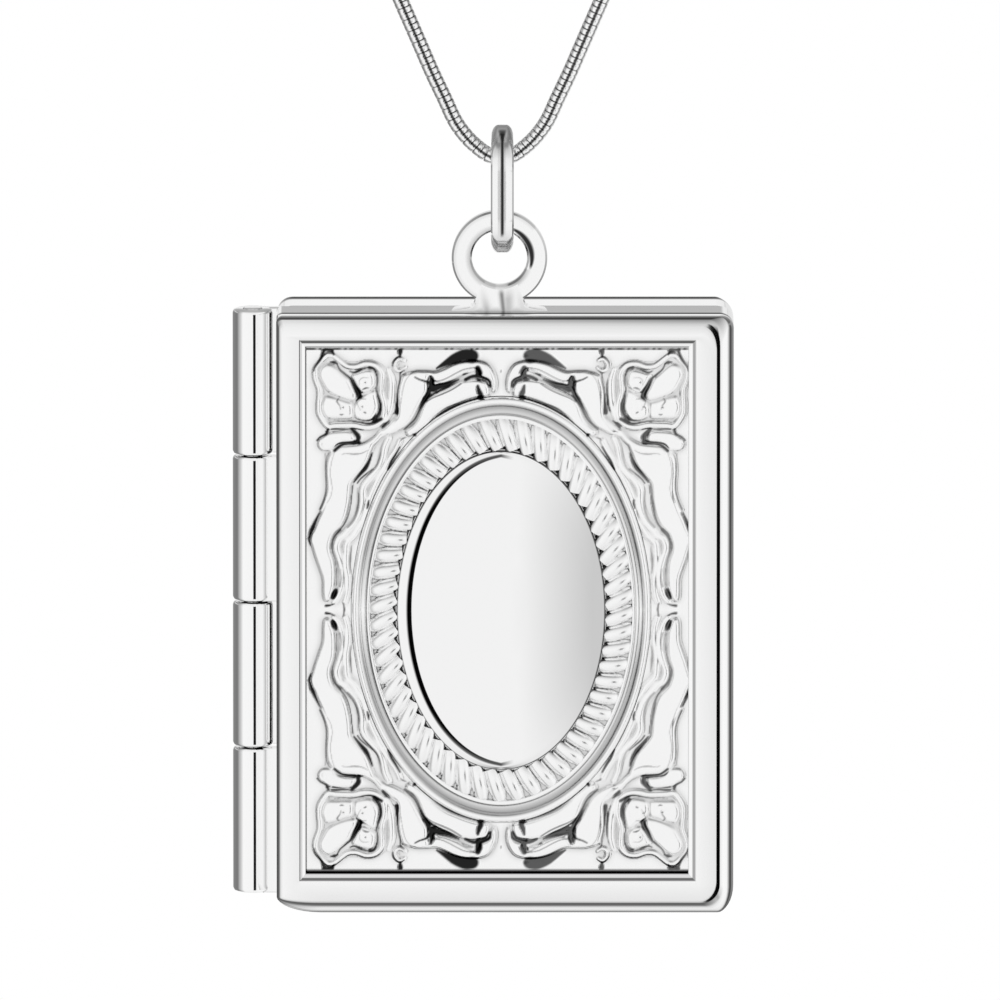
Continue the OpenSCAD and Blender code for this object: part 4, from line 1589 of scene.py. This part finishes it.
CUTS = (
    # tongue
    Cut(0.033, 0.059, 0.18, 1, (
        -9.71, 14.27, -9.35, 14.19, -9.15, 13.86, -8.83, 13.58, -8.56, 13.34, -8.36, 12.97,
        -8.2, 12.65, -8.06, 12.36)),
    # tongue top
    Cut(0.033, 0.117, 0.033, 1, (
        -9.71, 14.28, -9.47, 14.26, -9.27, 14.17)),
    # lobes split
    Cut(0.108, 0.144, 0.033, 1, (
        -8.16, 12.61, -8.04, 12.4, -8.12, 12.16, -8.24, 12.04)),
    # high lobe left
    Cut(0.033, 0.09, 0.033, 1, (
        -8.6, 13.76, -8.36, 13.68, -8.12, 13.76, -7.88, 13.88, -7.56, 13.96)),
    # high lobe right
    Cut(0.108, 0.053, 0.033, 1, (
        -7.48, 13.96, -7.22, 13.88, -7.06, 13.54, -7.02, 13.13, -7.09, 12.73)),
    # right lobe edge
    Cut(0.04, 0.099, 0.108, 1, (
        -7.09, 12.73, -6.98, 12.28, -6.86, 11.92, -6.86, 11.55, -7, 11.19, -7.24, 10.9)),
    # low lobe edge
    Cut(0.126, 0.046, 0.026, 0.8, (
        -6.8, 11.03, -7.2, 10.8, -7.56, 10.74, -8, 10.82, -8.52, 10.9, -8.99, 10.88, -9.47,
        10.94)),
    # high bud
    Cut(0.02, 0.033, 0.02, 0.5, (
        -7.48, 13.38, -7.8, 13.42, -8.02, 13.26, -8.04, 12.97)),
    # high bud low
    Cut(0.026, 0.053, 0.026, 0.8, (
        -7.88, 12.71, -7.68, 12.81, -7.5, 12.81)),
    # low bud
    Cut(0.02, 0.046, 0.02, 0.7, (
        -8.91, 12.2, -9.19, 12.2, -9.31, 12.04, -9.15, 11.8, -9.11, 11.59)),
    # low bud dot
    Cut(0.033, 0.053, 0.033, 0.7, (
        -9.15, 11.31, -9.05, 11.27, -8.95, 11.31)),
    # right bud
    Cut(0.026, 0.04, 0.02, 0.5, (
        -7.64, 12.16, -7.96, 12.2, -8.2, 12.08, -8.12, 11.8, -7.96, 11.51)),
    # right bud dot
    Cut(0.033, 0.053, 0.033, 0.8, (
        -7.78, 11.43, -7.7, 11.39, -7.66, 11.37)),
    # rim low line
    Cut(0.053, 0.059, 0.033, 1, (
        -9.63, 10.42, -9.31, 10.42, -8.91, 10.4, -8.52, 10.44)),
    # pod end
    Cut(0.108, 0.18, 0.108, 1, (
        -8.48, 10.42, -8.28, 10.21, -8.1, 9.97, -8.14, 9.73, -8.28, 9.63)),
    # pod low line
    Cut(0.108, 0.09, 0.09, 1, (
        -8.05, 9.67, -8.36, 9.63, -8.81, 9.59, -9.12, 9.47, -9.46, 9.2)),
    # pod left
    Cut(0.108, 0.059, 0.053, 1, (
        -9.84, 10.33, -9.94, 10.13, -10.26, 9.96, -10.45, 9.75)),
    # top notch left
    Cut(0.108, 0.09, 0.04, 1, (
        -10.03, 15, -10.11, 14.76, -10.27, 14.43, -10.55, 14.03, -10.63, 13.78)),
    # top notch right
    Cut(0.108, 0.09, 0.04, 1, (
        -9.71, 15, -9.55, 14.88, -9.49, 14.71)),
    # top knob
    Cut(0.09, 0.108, 0.09, 1, (
        -10.11, 14.98, -9.83, 14.98, -9.55, 14.96)),
    # rim top line
    Cut(0.02, 0.033, 0.02, 0.6, (
        -8.91, 14.39, -8.52, 14.29, -8.12, 14.31, -7.72, 14.41, -7.32, 14.41, -6.92, 14.23,
        -6.56, 13.98)),
    # rim right grey
    Cut(0.026, 0.046, 0.026, 0.35, (
        -6.64, 13.3, -6.68, 12.89, -6.74, 12.48)),
    # rim left grey
    Cut(0.026, 0.053, 0.026, 0.4, (
        -9.97, 12.36, -10.11, 12.04, -10.21, 11.71)),
    # a left line
    Cut(0.04, 0.04, 0.144, 1, (
        -5.72, 13.65, -5.74, 13.22, -5.86, 12.59, -5.9, 11.92, -5.94, 11.35)),
    # a inner line
    Cut(0.026, 0.033, 0.026, 0.5, (
        -5.04, 13.72, -5.41, 13.27, -5.58, 12.69, -5.67, 12.12, -5.72, 11.73)),
    # bud notch
    Cut(0.18, 0.144, 0.04, 1, (
        -5.72, 14.94, -5.73, 14.75, -5.74, 14.58)),
    # bud left
    Cut(0.046, 0.04, 0.026, 0.9, (
        -5.86, 14.58, -6.1, 14.32, -6.14, 14.03)),
    # bud low
    Cut(0.033, 0.053, 0.033, 0.9, (
        -5.51, 13.82, -5.67, 13.7, -5.74, 13.51)),
    # a top crease
    Cut(0.04, 0.053, 0.108, 1, (
        -4.9, 13.46, -4.61, 13.31, -4.24, 13.19, -4.05, 13.03)),
    # a right crease
    Cut(0.18, 0.059, 0.046, 1, (
        -4.05, 12.69, -4.24, 12.26, -4.52, 11.78, -4.75, 11.25, -4.99, 10.87, -5.51, 10.39)),
    # hook crease
    Cut(0.04, 0.18, 0.252, 1, (
        -3.98, 13.51, -3.95, 13.17, -3.93, 12.79)),
    # hook low crease
    Cut(0.252, 0.162, 0.053, 1, (
        -3.86, 12.74, -3.48, 12.88, -3.11, 12.95, -2.73, 13.12, -2.4, 13.27)),
    # hook top
    Cut(0.053, 0.324, 0.45, 1, (
        -3.67, 13.91, -3.2, 14.18, -2.73, 14.44, -2.35, 14.61, -1.98, 14.7, -1.65, 14.63)),
    # hook inner
    Cut(0.033, 0.033, 0.033, 0.7, (
        -3.81, 13.22, -3.39, 13.27, -2.96, 13.46, -2.49, 13.72, -2.07, 13.91, -1.5, 14.01)),
    # hook tip
    Cut(0.18, 0.27, 0.135, 1, (
        -1.32, 13.98, -1.27, 13.7, -1.36, 13.46)),
    # hook tip low
    Cut(0.108, 0.126, 0.09, 1, (
        -2.02, 13.27, -1.69, 13.43, -1.32, 13.46, -0.94, 13.34, -0.66, 13.17, -0.63, 12.88)),
    # low leaf line
    Cut(0.026, 0.04, 0.033, 0.9, (
        -4.24, 12.02, -3.86, 12.26, -3.29, 12.5, -2.78, 12.74, -2.26, 13.07)),
    # low leaf end
    Cut(0.09, 0.18, 0.18, 1, (
        -1.32, 12.95, -1.25, 12.64, -1.15, 12.4, -1.22, 12.21)),
    # low leaf edge
    Cut(0.033, 0.09, 0.09, 1, (
        -4.02, 10.63, -3.67, 11.11, -3.11, 11.52, -2.4, 11.83, -1.69, 12.07, -1.17, 12.19)),
    # middle notch
    Cut(0.09, 0.09, 0.162, 1, (
        0.38, 14.7, 0.29, 14.22, 0.12, 13.74)),
    # middle foot
    Cut(0.09, 0.126, 0.09, 1, (
        0.14, 12.5, 0.29, 12.26, 0.47, 12.21)),
    # stem dash
    Cut(0.09, 0.09, 0.033, 1, (
        -6.73, 10.53, -6.5, 10.77, -6.31, 10.92)),
    # curl dash
    Cut(0.053, 0.108, 0.04, 1, (
        -4.99, 10.15, -4.85, 10.01, -4.75, 9.98)),
    # curl dash two
    Cut(0.026, 0.053, 0.026, 0.7, (
        -5.37, 9.94, -5.6, 9.86, -5.72, 9.72)),
    # b left line
    Cut(0.046, 0.033, 0.09, 0.55, (
        -9.97, 9.01, -9.95, 8.43, -9.92, 7.66, -9.94, 6.88, -10.07, 6.26, -10.26, 5.8)),
    # b left black
    Cut(0.046, 0.126, 0.046, 1, (
        -10.3, 5.61, -10.56, 5.06, -10.77, 4.56, -10.89, 4.17, -10.92, 4.06, -10.81, 3.71)),
    # b left low
    Cut(0.02, 0.026, 0.013, 0.35, (
        -10.79, 3.64, -10.64, 3.02, -10.41, 2.4, -10.24, 1.86)),
    # b inner line
    Cut(0.033, 0.04, 0.033, 0.4, (
        -9.46, 9.09, -9.63, 8.51, -9.69, 7.85, -9.59, 7.08, -9.67, 6.57, -9.88, 6.19)),
    # b rim line
    Cut(0.02, 0.046, 0.02, 0.6, (
        -9.04, 9.01, -8.7, 9.05, -8.36, 9.01, -7.9, 9.07, -7.56, 9.24)),
    # b right black
    Cut(0.053, 0.153, 0.053, 1, (
        -7.31, 9.05, -7.46, 8.62, -7.67, 8.2, -8.01, 7.79, -8.36, 7.35)),
    # b right line
    Cut(0.04, 0.033, 0.053, 0.9, (
        -8.41, 7.19, -8.48, 6.65, -8.53, 6.11, -8.66, 5.49, -8.89, 4.95, -9.23, 4.52)),
    # b right low
    Cut(0.09, 0.04, 0.033, 0.7, (
        -9.12, 4.6, -9.46, 4.22, -9.6, 3.79, -9.57, 3.33, -9.42, 2.82, -9.35, 2.24, -9.34,
        1.59, -9.38, 1.28)),
    # b tip black
    Cut(0.09, 0.18, 0.108, 1, (
        -9.38, 1.16, -9.5, 0.89, -9.59, 0.66)),
    # b foot dash
    Cut(0.09, 0.059, 0.02, 1, (
        -9.94, 0.21, -9.69, 0.25, -9.42, 0.36)),
    # b side crease
    Cut(0.02, 0.053, 0.046, 0.9, (
        -7.25, 8.16, -7.67, 7.81, -7.99, 7.52, -8.17, 7.27)),
    # b side grey
    Cut(0.033, 0.126, 0.09, 0.4, (
        -8.17, 7.04, -8.13, 6.3, -8.19, 5.72, -8.38, 5.18, -8.7, 4.79)),
    # b side low
    Cut(0.033, 0.053, 0.09, 0.4, (
        -9.14, 2.4, -9.07, 1.86, -9.16, 1.35)),
    # curl crease
    Cut(0.046, 0.09, 0.053, 1, (
        -5.74, 9.4, -6, 8.93, -6.26, 8.51, -6.43, 8.08)),
    # curl grey
    Cut(0.033, 0.126, 0.033, 0.35, (
        -6.57, 9.94, -6.8, 9.4, -6.93, 8.74, -7.12, 8.2, -7.48, 7.81)),
    # wave dash
    Cut(0.04, 0.09, 0.033, 0.95, (
        -7.5, 6.34, -7.54, 6.11, -7.6, 5.84)),
    # wave low
    Cut(0.033, 0.09, 0.033, 0.5, (
        -8.47, 3.71, -8.55, 3.13, -8.58, 2.48, -8.55, 2.09)),
    # foot side
    Cut(0.04, 0.053, 0.09, 0.8, (
        -8.95, 0.39, -8.89, -0.08, -8.91, -0.27)),
)


def curve(flat: Sequence[float], closed: bool, dense: int = 6) -> np.ndarray:
    """Draw a smooth line through points.

    Args:
        flat: The points' coordinates, in pairs.
        closed: Whether the last point joins the first.
        dense: Steps between two points.

    Returns:
        The line's points, one in each row.
    """
    given = np.array(flat, float).reshape(-1, 2)
    ring = np.vstack([given[-1:], given, given[:2]] if closed else [given[:1], given, given[-1:]])
    t = np.linspace(0, 1, dense, endpoint=False)[:, None]
    line = [0.5 * (2 * a + (b - before) * t + (2 * before - 5 * a + 4 * b - after) * t**2
                   + (3 * a - before - 3 * b + after) * t**3)
            for before, a, b, after in zip(ring, ring[1:], ring[2:], ring[3:])]
    return np.vstack(line if closed else line + [given[-1:]])


@dataclass
class Field:
    """Heights of the relief over a set of points.

    Attributes:
        u: Distances to the right of the oval's middle.
        v: Distances above the oval's middle.
        pillow_share: Share of the pillows' heights that is built.
        band_share: Share of the bands' heights that is built.
        cut_depth: Depth of the darkest cuts.
        floor: Lowest level.
    """

    u: np.ndarray
    v: np.ndarray
    pillow_share: float = 0.75
    band_share: float = 0.65
    cut_depth: float = 0.06
    floor: float = -0.3

    def near(self, line: np.ndarray, reach: float) -> np.ndarray:
        """Tell which points lie within reach of a line's box."""
        low, high = line.min(0) - reach, line.max(0) + reach
        return (self.u > low[0]) & (self.u < high[0]) & (self.v > low[1]) & (self.v < high[1])

    def distance(self, line: np.ndarray, closed: bool,
                 some: np.ndarray) -> tuple[np.ndarray, np.ndarray]:
        """Measure from some points to a line.

        Args:
            line: The line's points.
            closed: Whether the last point joins the first.
            some: Which of the field's points are measured.

        Returns:
            Distance to the line, and the nearest place's share of the line's length.
        """
        u, v = self.u[some], self.v[some]
        ends = np.roll(line, -1, axis=0) if closed else line[1:]
        starts = line if closed else line[:-1]
        lengths = np.linalg.norm(ends - starts, axis=1)
        run = np.concatenate([[0], np.cumsum(lengths)])
        best, along = np.full(u.shape, 1e9), np.zeros(u.shape)
        for a, b, length, before in zip(starts, ends, lengths, run):
            if length < 1e-9:
                continue
            way = (b - a) / length
            t = np.clip((u - a[0]) * way[0] + (v - a[1]) * way[1], 0, length)
            far = (u - a[0] - t * way[0]) ** 2 + (v - a[1] - t * way[1]) ** 2
            closer = far < best
            best = np.where(closer, far, best)
            along = np.where(closer, (before + t) / run[-1], along)
        return np.sqrt(best), along

    def inside(self, line: np.ndarray, some: np.ndarray) -> np.ndarray:
        """Tell which of some points lie inside a closed line."""
        u, v = self.u[some], self.v[some]
        within = np.zeros(u.shape, bool)
        for a, b in zip(line, np.roll(line, -1, axis=0)):
            if a[1] != b[1]:
                reach = (b[0] - a[0]) * (v - a[1]) / (b[1] - a[1]) + a[0]
                within ^= ((a[1] > v) != (b[1] > v)) & (u < reach)
        return within

    def shape(self) -> tuple[np.ndarray, np.ndarray]:
        """Raise and cut the relief.

        Returns:
            Height above the panel's ground, and painted shade in the cuts.
        """
        level, dark = np.zeros(self.u.shape), np.zeros(self.u.shape)
        for pillow in PILLOWS:
            line = curve(pillow.points, True)
            some = self.near(line, 0.01)
            far, _ = self.distance(line, True, some)
            rise = np.clip(far / pillow.edge, 0, 1)
            tall = self.pillow_share * pillow.tall * (1 - (1 - rise) ** 1.4)
            level[some] = np.maximum(level[some], np.where(self.inside(line, some), tall, 0))
        for band in BANDS:
            line = curve(band.points, False)
            some = self.near(line, band.half)
            far, along = self.distance(line, False, some)
            swell = 0.55 + 0.45 * np.sin(np.pi * (0.1 + 0.8 * along))
            round_s = np.sqrt(np.clip(1 - (far / (band.half * swell)) ** 2, 0, 1))
            level[some] = np.maximum(level[some], self.band_share * band.tall * swell * round_s)
        for cut in CUTS:
            line = curve(cut.points, False)
            some = self.near(line, max(cut.start, cut.middle, cut.end))
            far, along = self.distance(line, False, some)
            half = np.interp(along, (0, 0.5, 1), (cut.start, cut.middle, cut.end))
            share = np.clip(1 - far / half, 0, 1)
            level[some] -= self.cut_depth * cut.dark * share * np.clip(half / 0.1, 0.4, 1.3)
            # Painted shade in the cut.
            dark[some] = np.maximum(dark[some], cut.dark * np.clip(2.3 * share, 0, 1))
        return np.maximum(level, self.floor), dark


def soften(grid: np.ndarray, spread: float) -> np.ndarray:
    """Round off a grid of values.

    Args:
        grid: The values.
        spread: Width of the rounding, in cells of the grid.

    Returns:
        The rounded values.
    """
    reach = math.ceil(2.5 * spread)
    share = np.exp(-0.5 * (np.arange(-reach, reach + 1) / spread) ** 2)
    share /= share.sum()
    for axis in (0, 1):
        wide = np.pad(grid, [(reach, reach) if k == axis else (0, 0) for k in (0, 1)], "reflect")
        grid = sum(part * np.take(wide, np.arange(grid.shape[axis]) + k, axis)
                   for k, part in enumerate(share))
    return grid


@dataclass
class ReliefPanel:
    """The cast panel with its flowers, leaves and curls.

    Attributes:
        left: The panel's left side; right, low and high are its other sides.
        cell: Size of its mesh's cells.
        fine: Size of the cells in which the relief is worked out.
        soft: Width over which the relief is rounded off.
        shadow: Width of the hollows beside the raised shapes that get painted shade.
        shadow_deep: Depth of the hollows that get the most painted shade.
        shadow_dark: Darkness of the painted shade in those hollows.
        lighter: How much weaker the painted shade is on the right half.
        ground: Level of the panel's ground.
        back: Level of its back.
        hole: Distance from the oval plate to the panel's hole.
        top_seam: Distance from the top to the middle of the broken line of painted shade there.
        low_seam: Width of the line of painted shade at the bottom.
    """

    left: float = -11.05
    right: float = 10.63
    low: float = -40.8
    high: float = -10.55
    cell: float = 0.059
    fine: float = 0.033
    soft: float = 0.04
    shadow: float = 0.2
    shadow_deep: float = 0.12
    shadow_dark: float = 0.4
    lighter: float = 0.1
    ground: float = -0.4
    back: float = -0.75
    hole: float = 2.53
    top_seam: float = 0.09
    low_seam: float = 0.08

    def heights(self, u: np.ndarray, v: np.ndarray) -> tuple[np.ndarray, np.ndarray]:
        """Read the relief, which is the same in its four quarters, at some points.

        Args:
            u: Distances to the right of the oval's middle.
            v: Distances above the oval's middle.

        Returns:
            Height above the panel's ground, and painted shade in the cuts and beside the raised
            shapes.
        """
        start_u, start_v = self.left - 0.2, -0.1
        grid_u, grid_v = np.meshgrid(np.arange(start_u, 0.2, self.fine),
                                     np.arange(start_v, self.high - OVAL.z + 0.3, self.fine))
        tall, dark = (values.reshape(grid_u.shape)
                      for values in Field(grid_u.ravel(), grid_v.ravel()).shape())
        # Hollows lower than their surroundings get painted shade.
        deep = soften(tall, self.shadow / self.fine) - tall
        below = soften(np.clip(deep / self.shadow_deep, 0, 1), self.soft / self.fine)
        tall = soften(tall, self.soft / self.fine)
        dark = np.clip(1.8 * soften(dark, 0.6 * self.soft / self.fine) - 0.15, 0, 1)
        dark = np.maximum(dark, self.shadow_dark * below)
        at_u, at_v = (-np.abs(u) - start_u) / self.fine, (np.abs(v) - start_v) / self.fine
        i, j = at_u.astype(int), at_v.astype(int)
        s, t = at_u - i, at_v - j
        tall, dark = ((1 - t) * ((1 - s) * grid[j, i] + s * grid[j, i + 1])
                      + t * ((1 - s) * grid[j + 1, i] + s * grid[j + 1, i + 1])
                      for grid in (tall, dark))
        return tall, dark

    def seams(self, u: np.ndarray, v: np.ndarray) -> np.ndarray:
        """Give the painted shade of the lines along the panel's top and bottom at some points."""
        top = np.clip(1.6 - np.abs(v - (self.high - OVAL.z - self.top_seam)) / 0.055, 0, 1)
        broken = 0.8 + 0.2 * np.sin(9 * u + 3 * np.sin(4.3 * u))
        low = np.clip(1.7 - (v - self.low + OVAL.z) / self.low_seam, 0, 0.85)
        return np.maximum(top * broken, low)

    def build(self) -> bpy.types.Object:
        """Build the panel.

        Returns:
            The object.
        """
        across = round((self.right - self.left) / self.cell)
        along = round((self.high - self.low) / self.cell)
        bm = bmesh.new()
        sheet(bm, across, along,
              lambda i, j: Vector((mix(self.left, self.right, i / across),
                                   mix(self.low, self.high, j / along) - OVAL.z, 0)))
        a, b = OVAL.a + self.hole, OVAL.b + OVAL.growth * self.hole
        inside = {vert for vert in bm.verts if (vert.co.x / a) ** 2 + (vert.co.y / b) ** 2 < 1}
        gone = [face for face in bm.faces if all(vert in inside for vert in face.verts)]
        bmesh.ops.delete(bm, geom=gone, context="FACES")
        co = np.array([vert.co[:2] for vert in bm.verts])
        away = np.hypot(co[:, 0] / a, co[:, 1] / b)
        co[away < 1] /= away[away < 1, None]
        tall, dark = self.heights(*co.T)
        # The painted shade is weaker on the right half.
        dark *= 1 - self.lighter * np.clip(co[:, 0] + 0.5, 0, 1)
        dark = np.maximum(dark, self.seams(*co.T))
        shade = bm.verts.layers.float[PAINTED_SHADE]
        for vert, (u, v), level, grey in zip(bm.verts, co, tall, dark):
            vert.co = spot(u, CASE.front - self.ground - level, OVAL.z + v)
            vert[shade] = grey
        rims = [edge for edge in bm.edges if edge.is_boundary]
        made = bmesh.ops.extrude_edge_only(bm, edges=rims)["geom"]
        # The panel's sides get full painted shade, where the gap to the cover lies.
        for vert in made:
            if isinstance(vert, bmesh.types.BMVert):
                vert.co.y = (CASE.front - self.back) * MM
                vert[shade] = 1.0
        foot = [edge for edge in made if isinstance(edge, bmesh.types.BMEdge)]
        bmesh.ops.triangle_fill(bm, use_beauty=False, use_dissolve=False, edges=foot)
        piece = Piece("cast_relief", "relief_panel", Body.FRONT, CAST_SILVER, even=False, sharp=85.0)
        return piece.dress(bm, FINE_WELD)


@dataclass
class Studio:
    """The light tent, the floor and the camera.

    Each ramp holds degrees and greys. Degrees across run from the front, 0, to the right, 90,
    and degrees upward from straight down, -90, to straight up, 90.

    Attributes:
        distance: From the camera to the locket, in metres.
        elevation: How high the camera looks from.
        width: Width of the picture at the locket, in metres.
        target: The point that the camera looks at, in metres.
        sensor: Width of the camera's sensor.
        across: The tent's front, from side to side.
        upward: The tent's front, from below to above.
        behind: The tent's rear, from below to above.
        rear: The tent's rear, from side to side.
        wall: The white wall behind, from side to side.
        wall_top: The same from below to above.
        gap_across: The dark gap in the front, from side to side.
        gap_upward: The same from below to above.
        gap_dark: How much darker the gap is.
        turn: Where the front passes into the rear, as the direction's share away.
        floor_r: Radius of the floor, in metres.
        floor_z: Height of the floor.
    """

    distance: float = 2.5
    elevation: float = 10.5
    width: float = 0.0568
    target: tuple[float, float, float] = (-0.00006, 0.0, -0.20396)
    sensor: float = 36.0
    across: Rows = (
        (-180, 0.34), (-150, 0.34), (-95, 0.36), (-75, 0.6), (-58, 0.98), (-5, 0.96), (1.9, 0.95),
        (18, 0.95), (40, 1.0), (72, 0.98), (88, 0.6), (105, 0.34), (150, 0.32), (180, 0.34))
    upward: Rows = (
        (-90, 0.85), (-66, 0.92), (-50, 0.94), (-32, 0.96), (-12, 0.98), (5, 0.97),
        (30, 0.9), (56, 0.6), (66, 0.3), (78, 0.25), (86, 0.8), (90, 0.85))
    behind: Rows = (
        (-90, 0.95), (-70, 0.85), (-50, 0.5), (-28, 0.32), (-10, 0.3), (2, 0.35), (5, 0.95),
        (9.5, 0.95), (11.5, 0.5), (30, 0.4), (60, 0.7), (90, 0.9))
    rear: Rows = ((-180, 1.0), (-120, 0.7), (0, 0.3), (120, 0.4), (180, 1.0))
    wall: Rows = (
        (-180, 0.88), (-164, 0.84), (-154, 0.1), (0, 0.0), (112, 0.0), (124, 0.5), (154, 0.7),
        (180, 0.88))
    wall_top: Rows = ((-90, 1.0), (3, 1.0), (8, 0.0), (90, 0.0))
    gap_across: Rows = ((-180, 0), (1.9, 0), (2.7, 1), (16, 1), (18, 0), (180, 0))
    gap_upward: Rows = ((-90, 0), (-23, 0), (-17, 1), (-4, 1), (2, 0), (90, 0))
    gap_dark: float = 0.99
    turn: tuple[float, float] = (-0.1, 0.25)
    floor_r: float = 0.16
    floor_z: float = -90.0

    def build(self) -> None:
        """Set up the camera, the world and the floor."""
        self.camera()
        self.world()
        self.floor()
        view = bpy.context.scene.view_settings
        view.view_transform = "Standard"
        view.look = "None"

    def camera(self) -> None:
        """Add the camera, in front of the locket and a little above it."""
        data = bpy.data.cameras.new("camera")
        data.sensor_width = self.sensor
        data.lens = self.sensor * self.distance / self.width
        data.clip_start, data.clip_end = 0.01, 20.0
        obj = bpy.data.objects.new("camera", data)
        tilt = math.radians(self.elevation)
        back = Vector((0, -math.cos(tilt), math.sin(tilt)))
        obj.location = Vector(self.target) + back * self.distance
        obj.rotation_euler = (math.pi / 2 - tilt, 0, 0)
        bpy.context.scene.collection.objects.link(obj)
        bpy.context.scene.camera = obj

    def world(self) -> None:
        """Build the tent: white all round, with the dark gaps that draw the silver's edges."""
        world = bpy.data.worlds.new("light tent")
        bpy.context.scene.world = world
        world.use_nodes = True
        tree = world.node_tree
        nodes, links = tree.nodes, tree.links
        nodes.clear()

        def part(wide: Rows, tall: Rows) -> bpy.types.NodeSocket:
            """Give a part of the tent, from its greys across and upward."""
            return calculate(tree, "MULTIPLY", self.ramp(tree, azimuth, 180, wide),
                             self.ramp(tree, height, 90, tall))

        where = nodes.new("ShaderNodeTexCoord")
        split = nodes.new("ShaderNodeSeparateXYZ")
        links.new(where.outputs["Generated"], split.inputs["Vector"])
        x, y, z = (split.outputs[name] for name in "XYZ")
        azimuth = calculate(tree, "ARCTAN2", x, calculate(tree, "MULTIPLY", y, -1.0))
        inner = calculate(tree, "MINIMUM", calculate(tree, "MAXIMUM", z, -1.0), 1.0)
        height = calculate(tree, "ARCSINE", inner)
        gap = part(self.gap_across, self.gap_upward)
        beside = calculate(tree, "MULTIPLY_ADD", gap, -self.gap_dark, 1.0)
        front = calculate(tree, "MULTIPLY", part(self.across, self.upward), beside)
        back = calculate(tree, "MAXIMUM", part(self.rear, self.behind),
                         part(self.wall, self.wall_top))
        turned = nodes.new("ShaderNodeMapRange")
        turned.interpolation_type = "SMOOTHSTEP"
        links.new(y, turned.inputs["Value"])
        turned.inputs["From Min"].default_value, turned.inputs["From Max"].default_value = self.turn
        tent = nodes.new("ShaderNodeMix")
        for socket, value in zip((0, 2, 3), (turned.outputs["Result"], front, back)):
            links.new(value, tent.inputs[socket])
        light = nodes.new("ShaderNodeBackground")
        links.new(tent.outputs[0], light.inputs["Color"])
        paper = nodes.new("ShaderNodeBackground")
        paper.inputs["Color"].default_value = (1.0, 1.0, 1.0, 1.0)
        seen = nodes.new("ShaderNodeLightPath")
        both = nodes.new("ShaderNodeMixShader")
        put = nodes.new("ShaderNodeOutputWorld")
        links.new(seen.outputs["Is Camera Ray"], both.inputs["Fac"])
        links.new(light.outputs["Background"], both.inputs[1])
        links.new(paper.outputs["Background"], both.inputs[2])
        links.new(both.outputs["Shader"], put.inputs["Surface"])

    @staticmethod
    def ramp(tree: bpy.types.NodeTree, value: bpy.types.NodeSocket, span: float,
             stops: Rows) -> bpy.types.NodeSocket:
        """Add a ramp of greys over an angle.

        Args:
            tree: The node tree to add to.
            value: The angle, in radians.
            span: Half of the ramp's range.
            stops: Its degrees and greys.

        Returns:
            The grey.
        """
        node = tree.nodes.new("ShaderNodeValToRGB")
        points = node.color_ramp.elements
        while len(points) < len(stops):
            points.new(0.5)
        for point, (degrees, grey) in zip(points, stops):
            point.position = (degrees + span) / (2 * span)
            point.color = (grey, grey, grey, 1.0)
        share = calculate(tree, "MULTIPLY_ADD", value, 0.5 / math.radians(span), 0.5)
        tree.links.new(share, node.inputs["Fac"])
        return node.outputs["Color"]

    def floor(self) -> None:
        """Add the pale floor under the locket."""
        bm = bmesh.new()
        bmesh.ops.create_circle(bm, cap_ends=True, segments=96, radius=self.floor_r)
        bmesh.ops.translate(bm, verts=bm.verts[:], vec=spot(0, 0, self.floor_z))
        mesh = bpy.data.meshes.new("floor")
        bm.to_mesh(mesh)
        bm.free()
        obj = bpy.data.objects.new("floor", mesh)
        bpy.context.scene.collection.objects.link(obj)
        paper = bpy.data.materials.new("white paper")
        paper.use_nodes = True
        nodes, links = paper.node_tree.nodes, paper.node_tree.links
        surface = nodes["Principled BSDF"].inputs
        where = nodes.new("ShaderNodeTexCoord")
        fibre = noise(paper.node_tree, where.outputs["Object"], 2.0, 400.0)
        tint = nodes.new("ShaderNodeMapRange")
        tint.inputs["To Min"].default_value = 0.93
        tint.inputs["To Max"].default_value = 0.97
        links.new(fibre, tint.inputs["Value"])
        links.new(tint.outputs["Result"], surface["Base Color"])
        surface["Roughness"].default_value = 0.9
        surface["Emission Color"].default_value = (1.0, 1.0, 1.0, 1.0)
        surface["Emission Strength"].default_value = 0.35
        mesh.materials.append(paper)
        obj.visible_glossy = False


def main() -> None:
    """Build the necklace piece by piece, then the studio round it."""
    logging.basicConfig(level=logging.INFO, format="%(message)s")
    for part in (SnakeChain(), Clasp(), Bail(), BackCover(), FrontCover(), ReliefPanel(),
                 RopeFrame(), OvalPlate(), HingePin()):
        part.build()
    Studio().build()


if __name__ == "__main__":
    main()
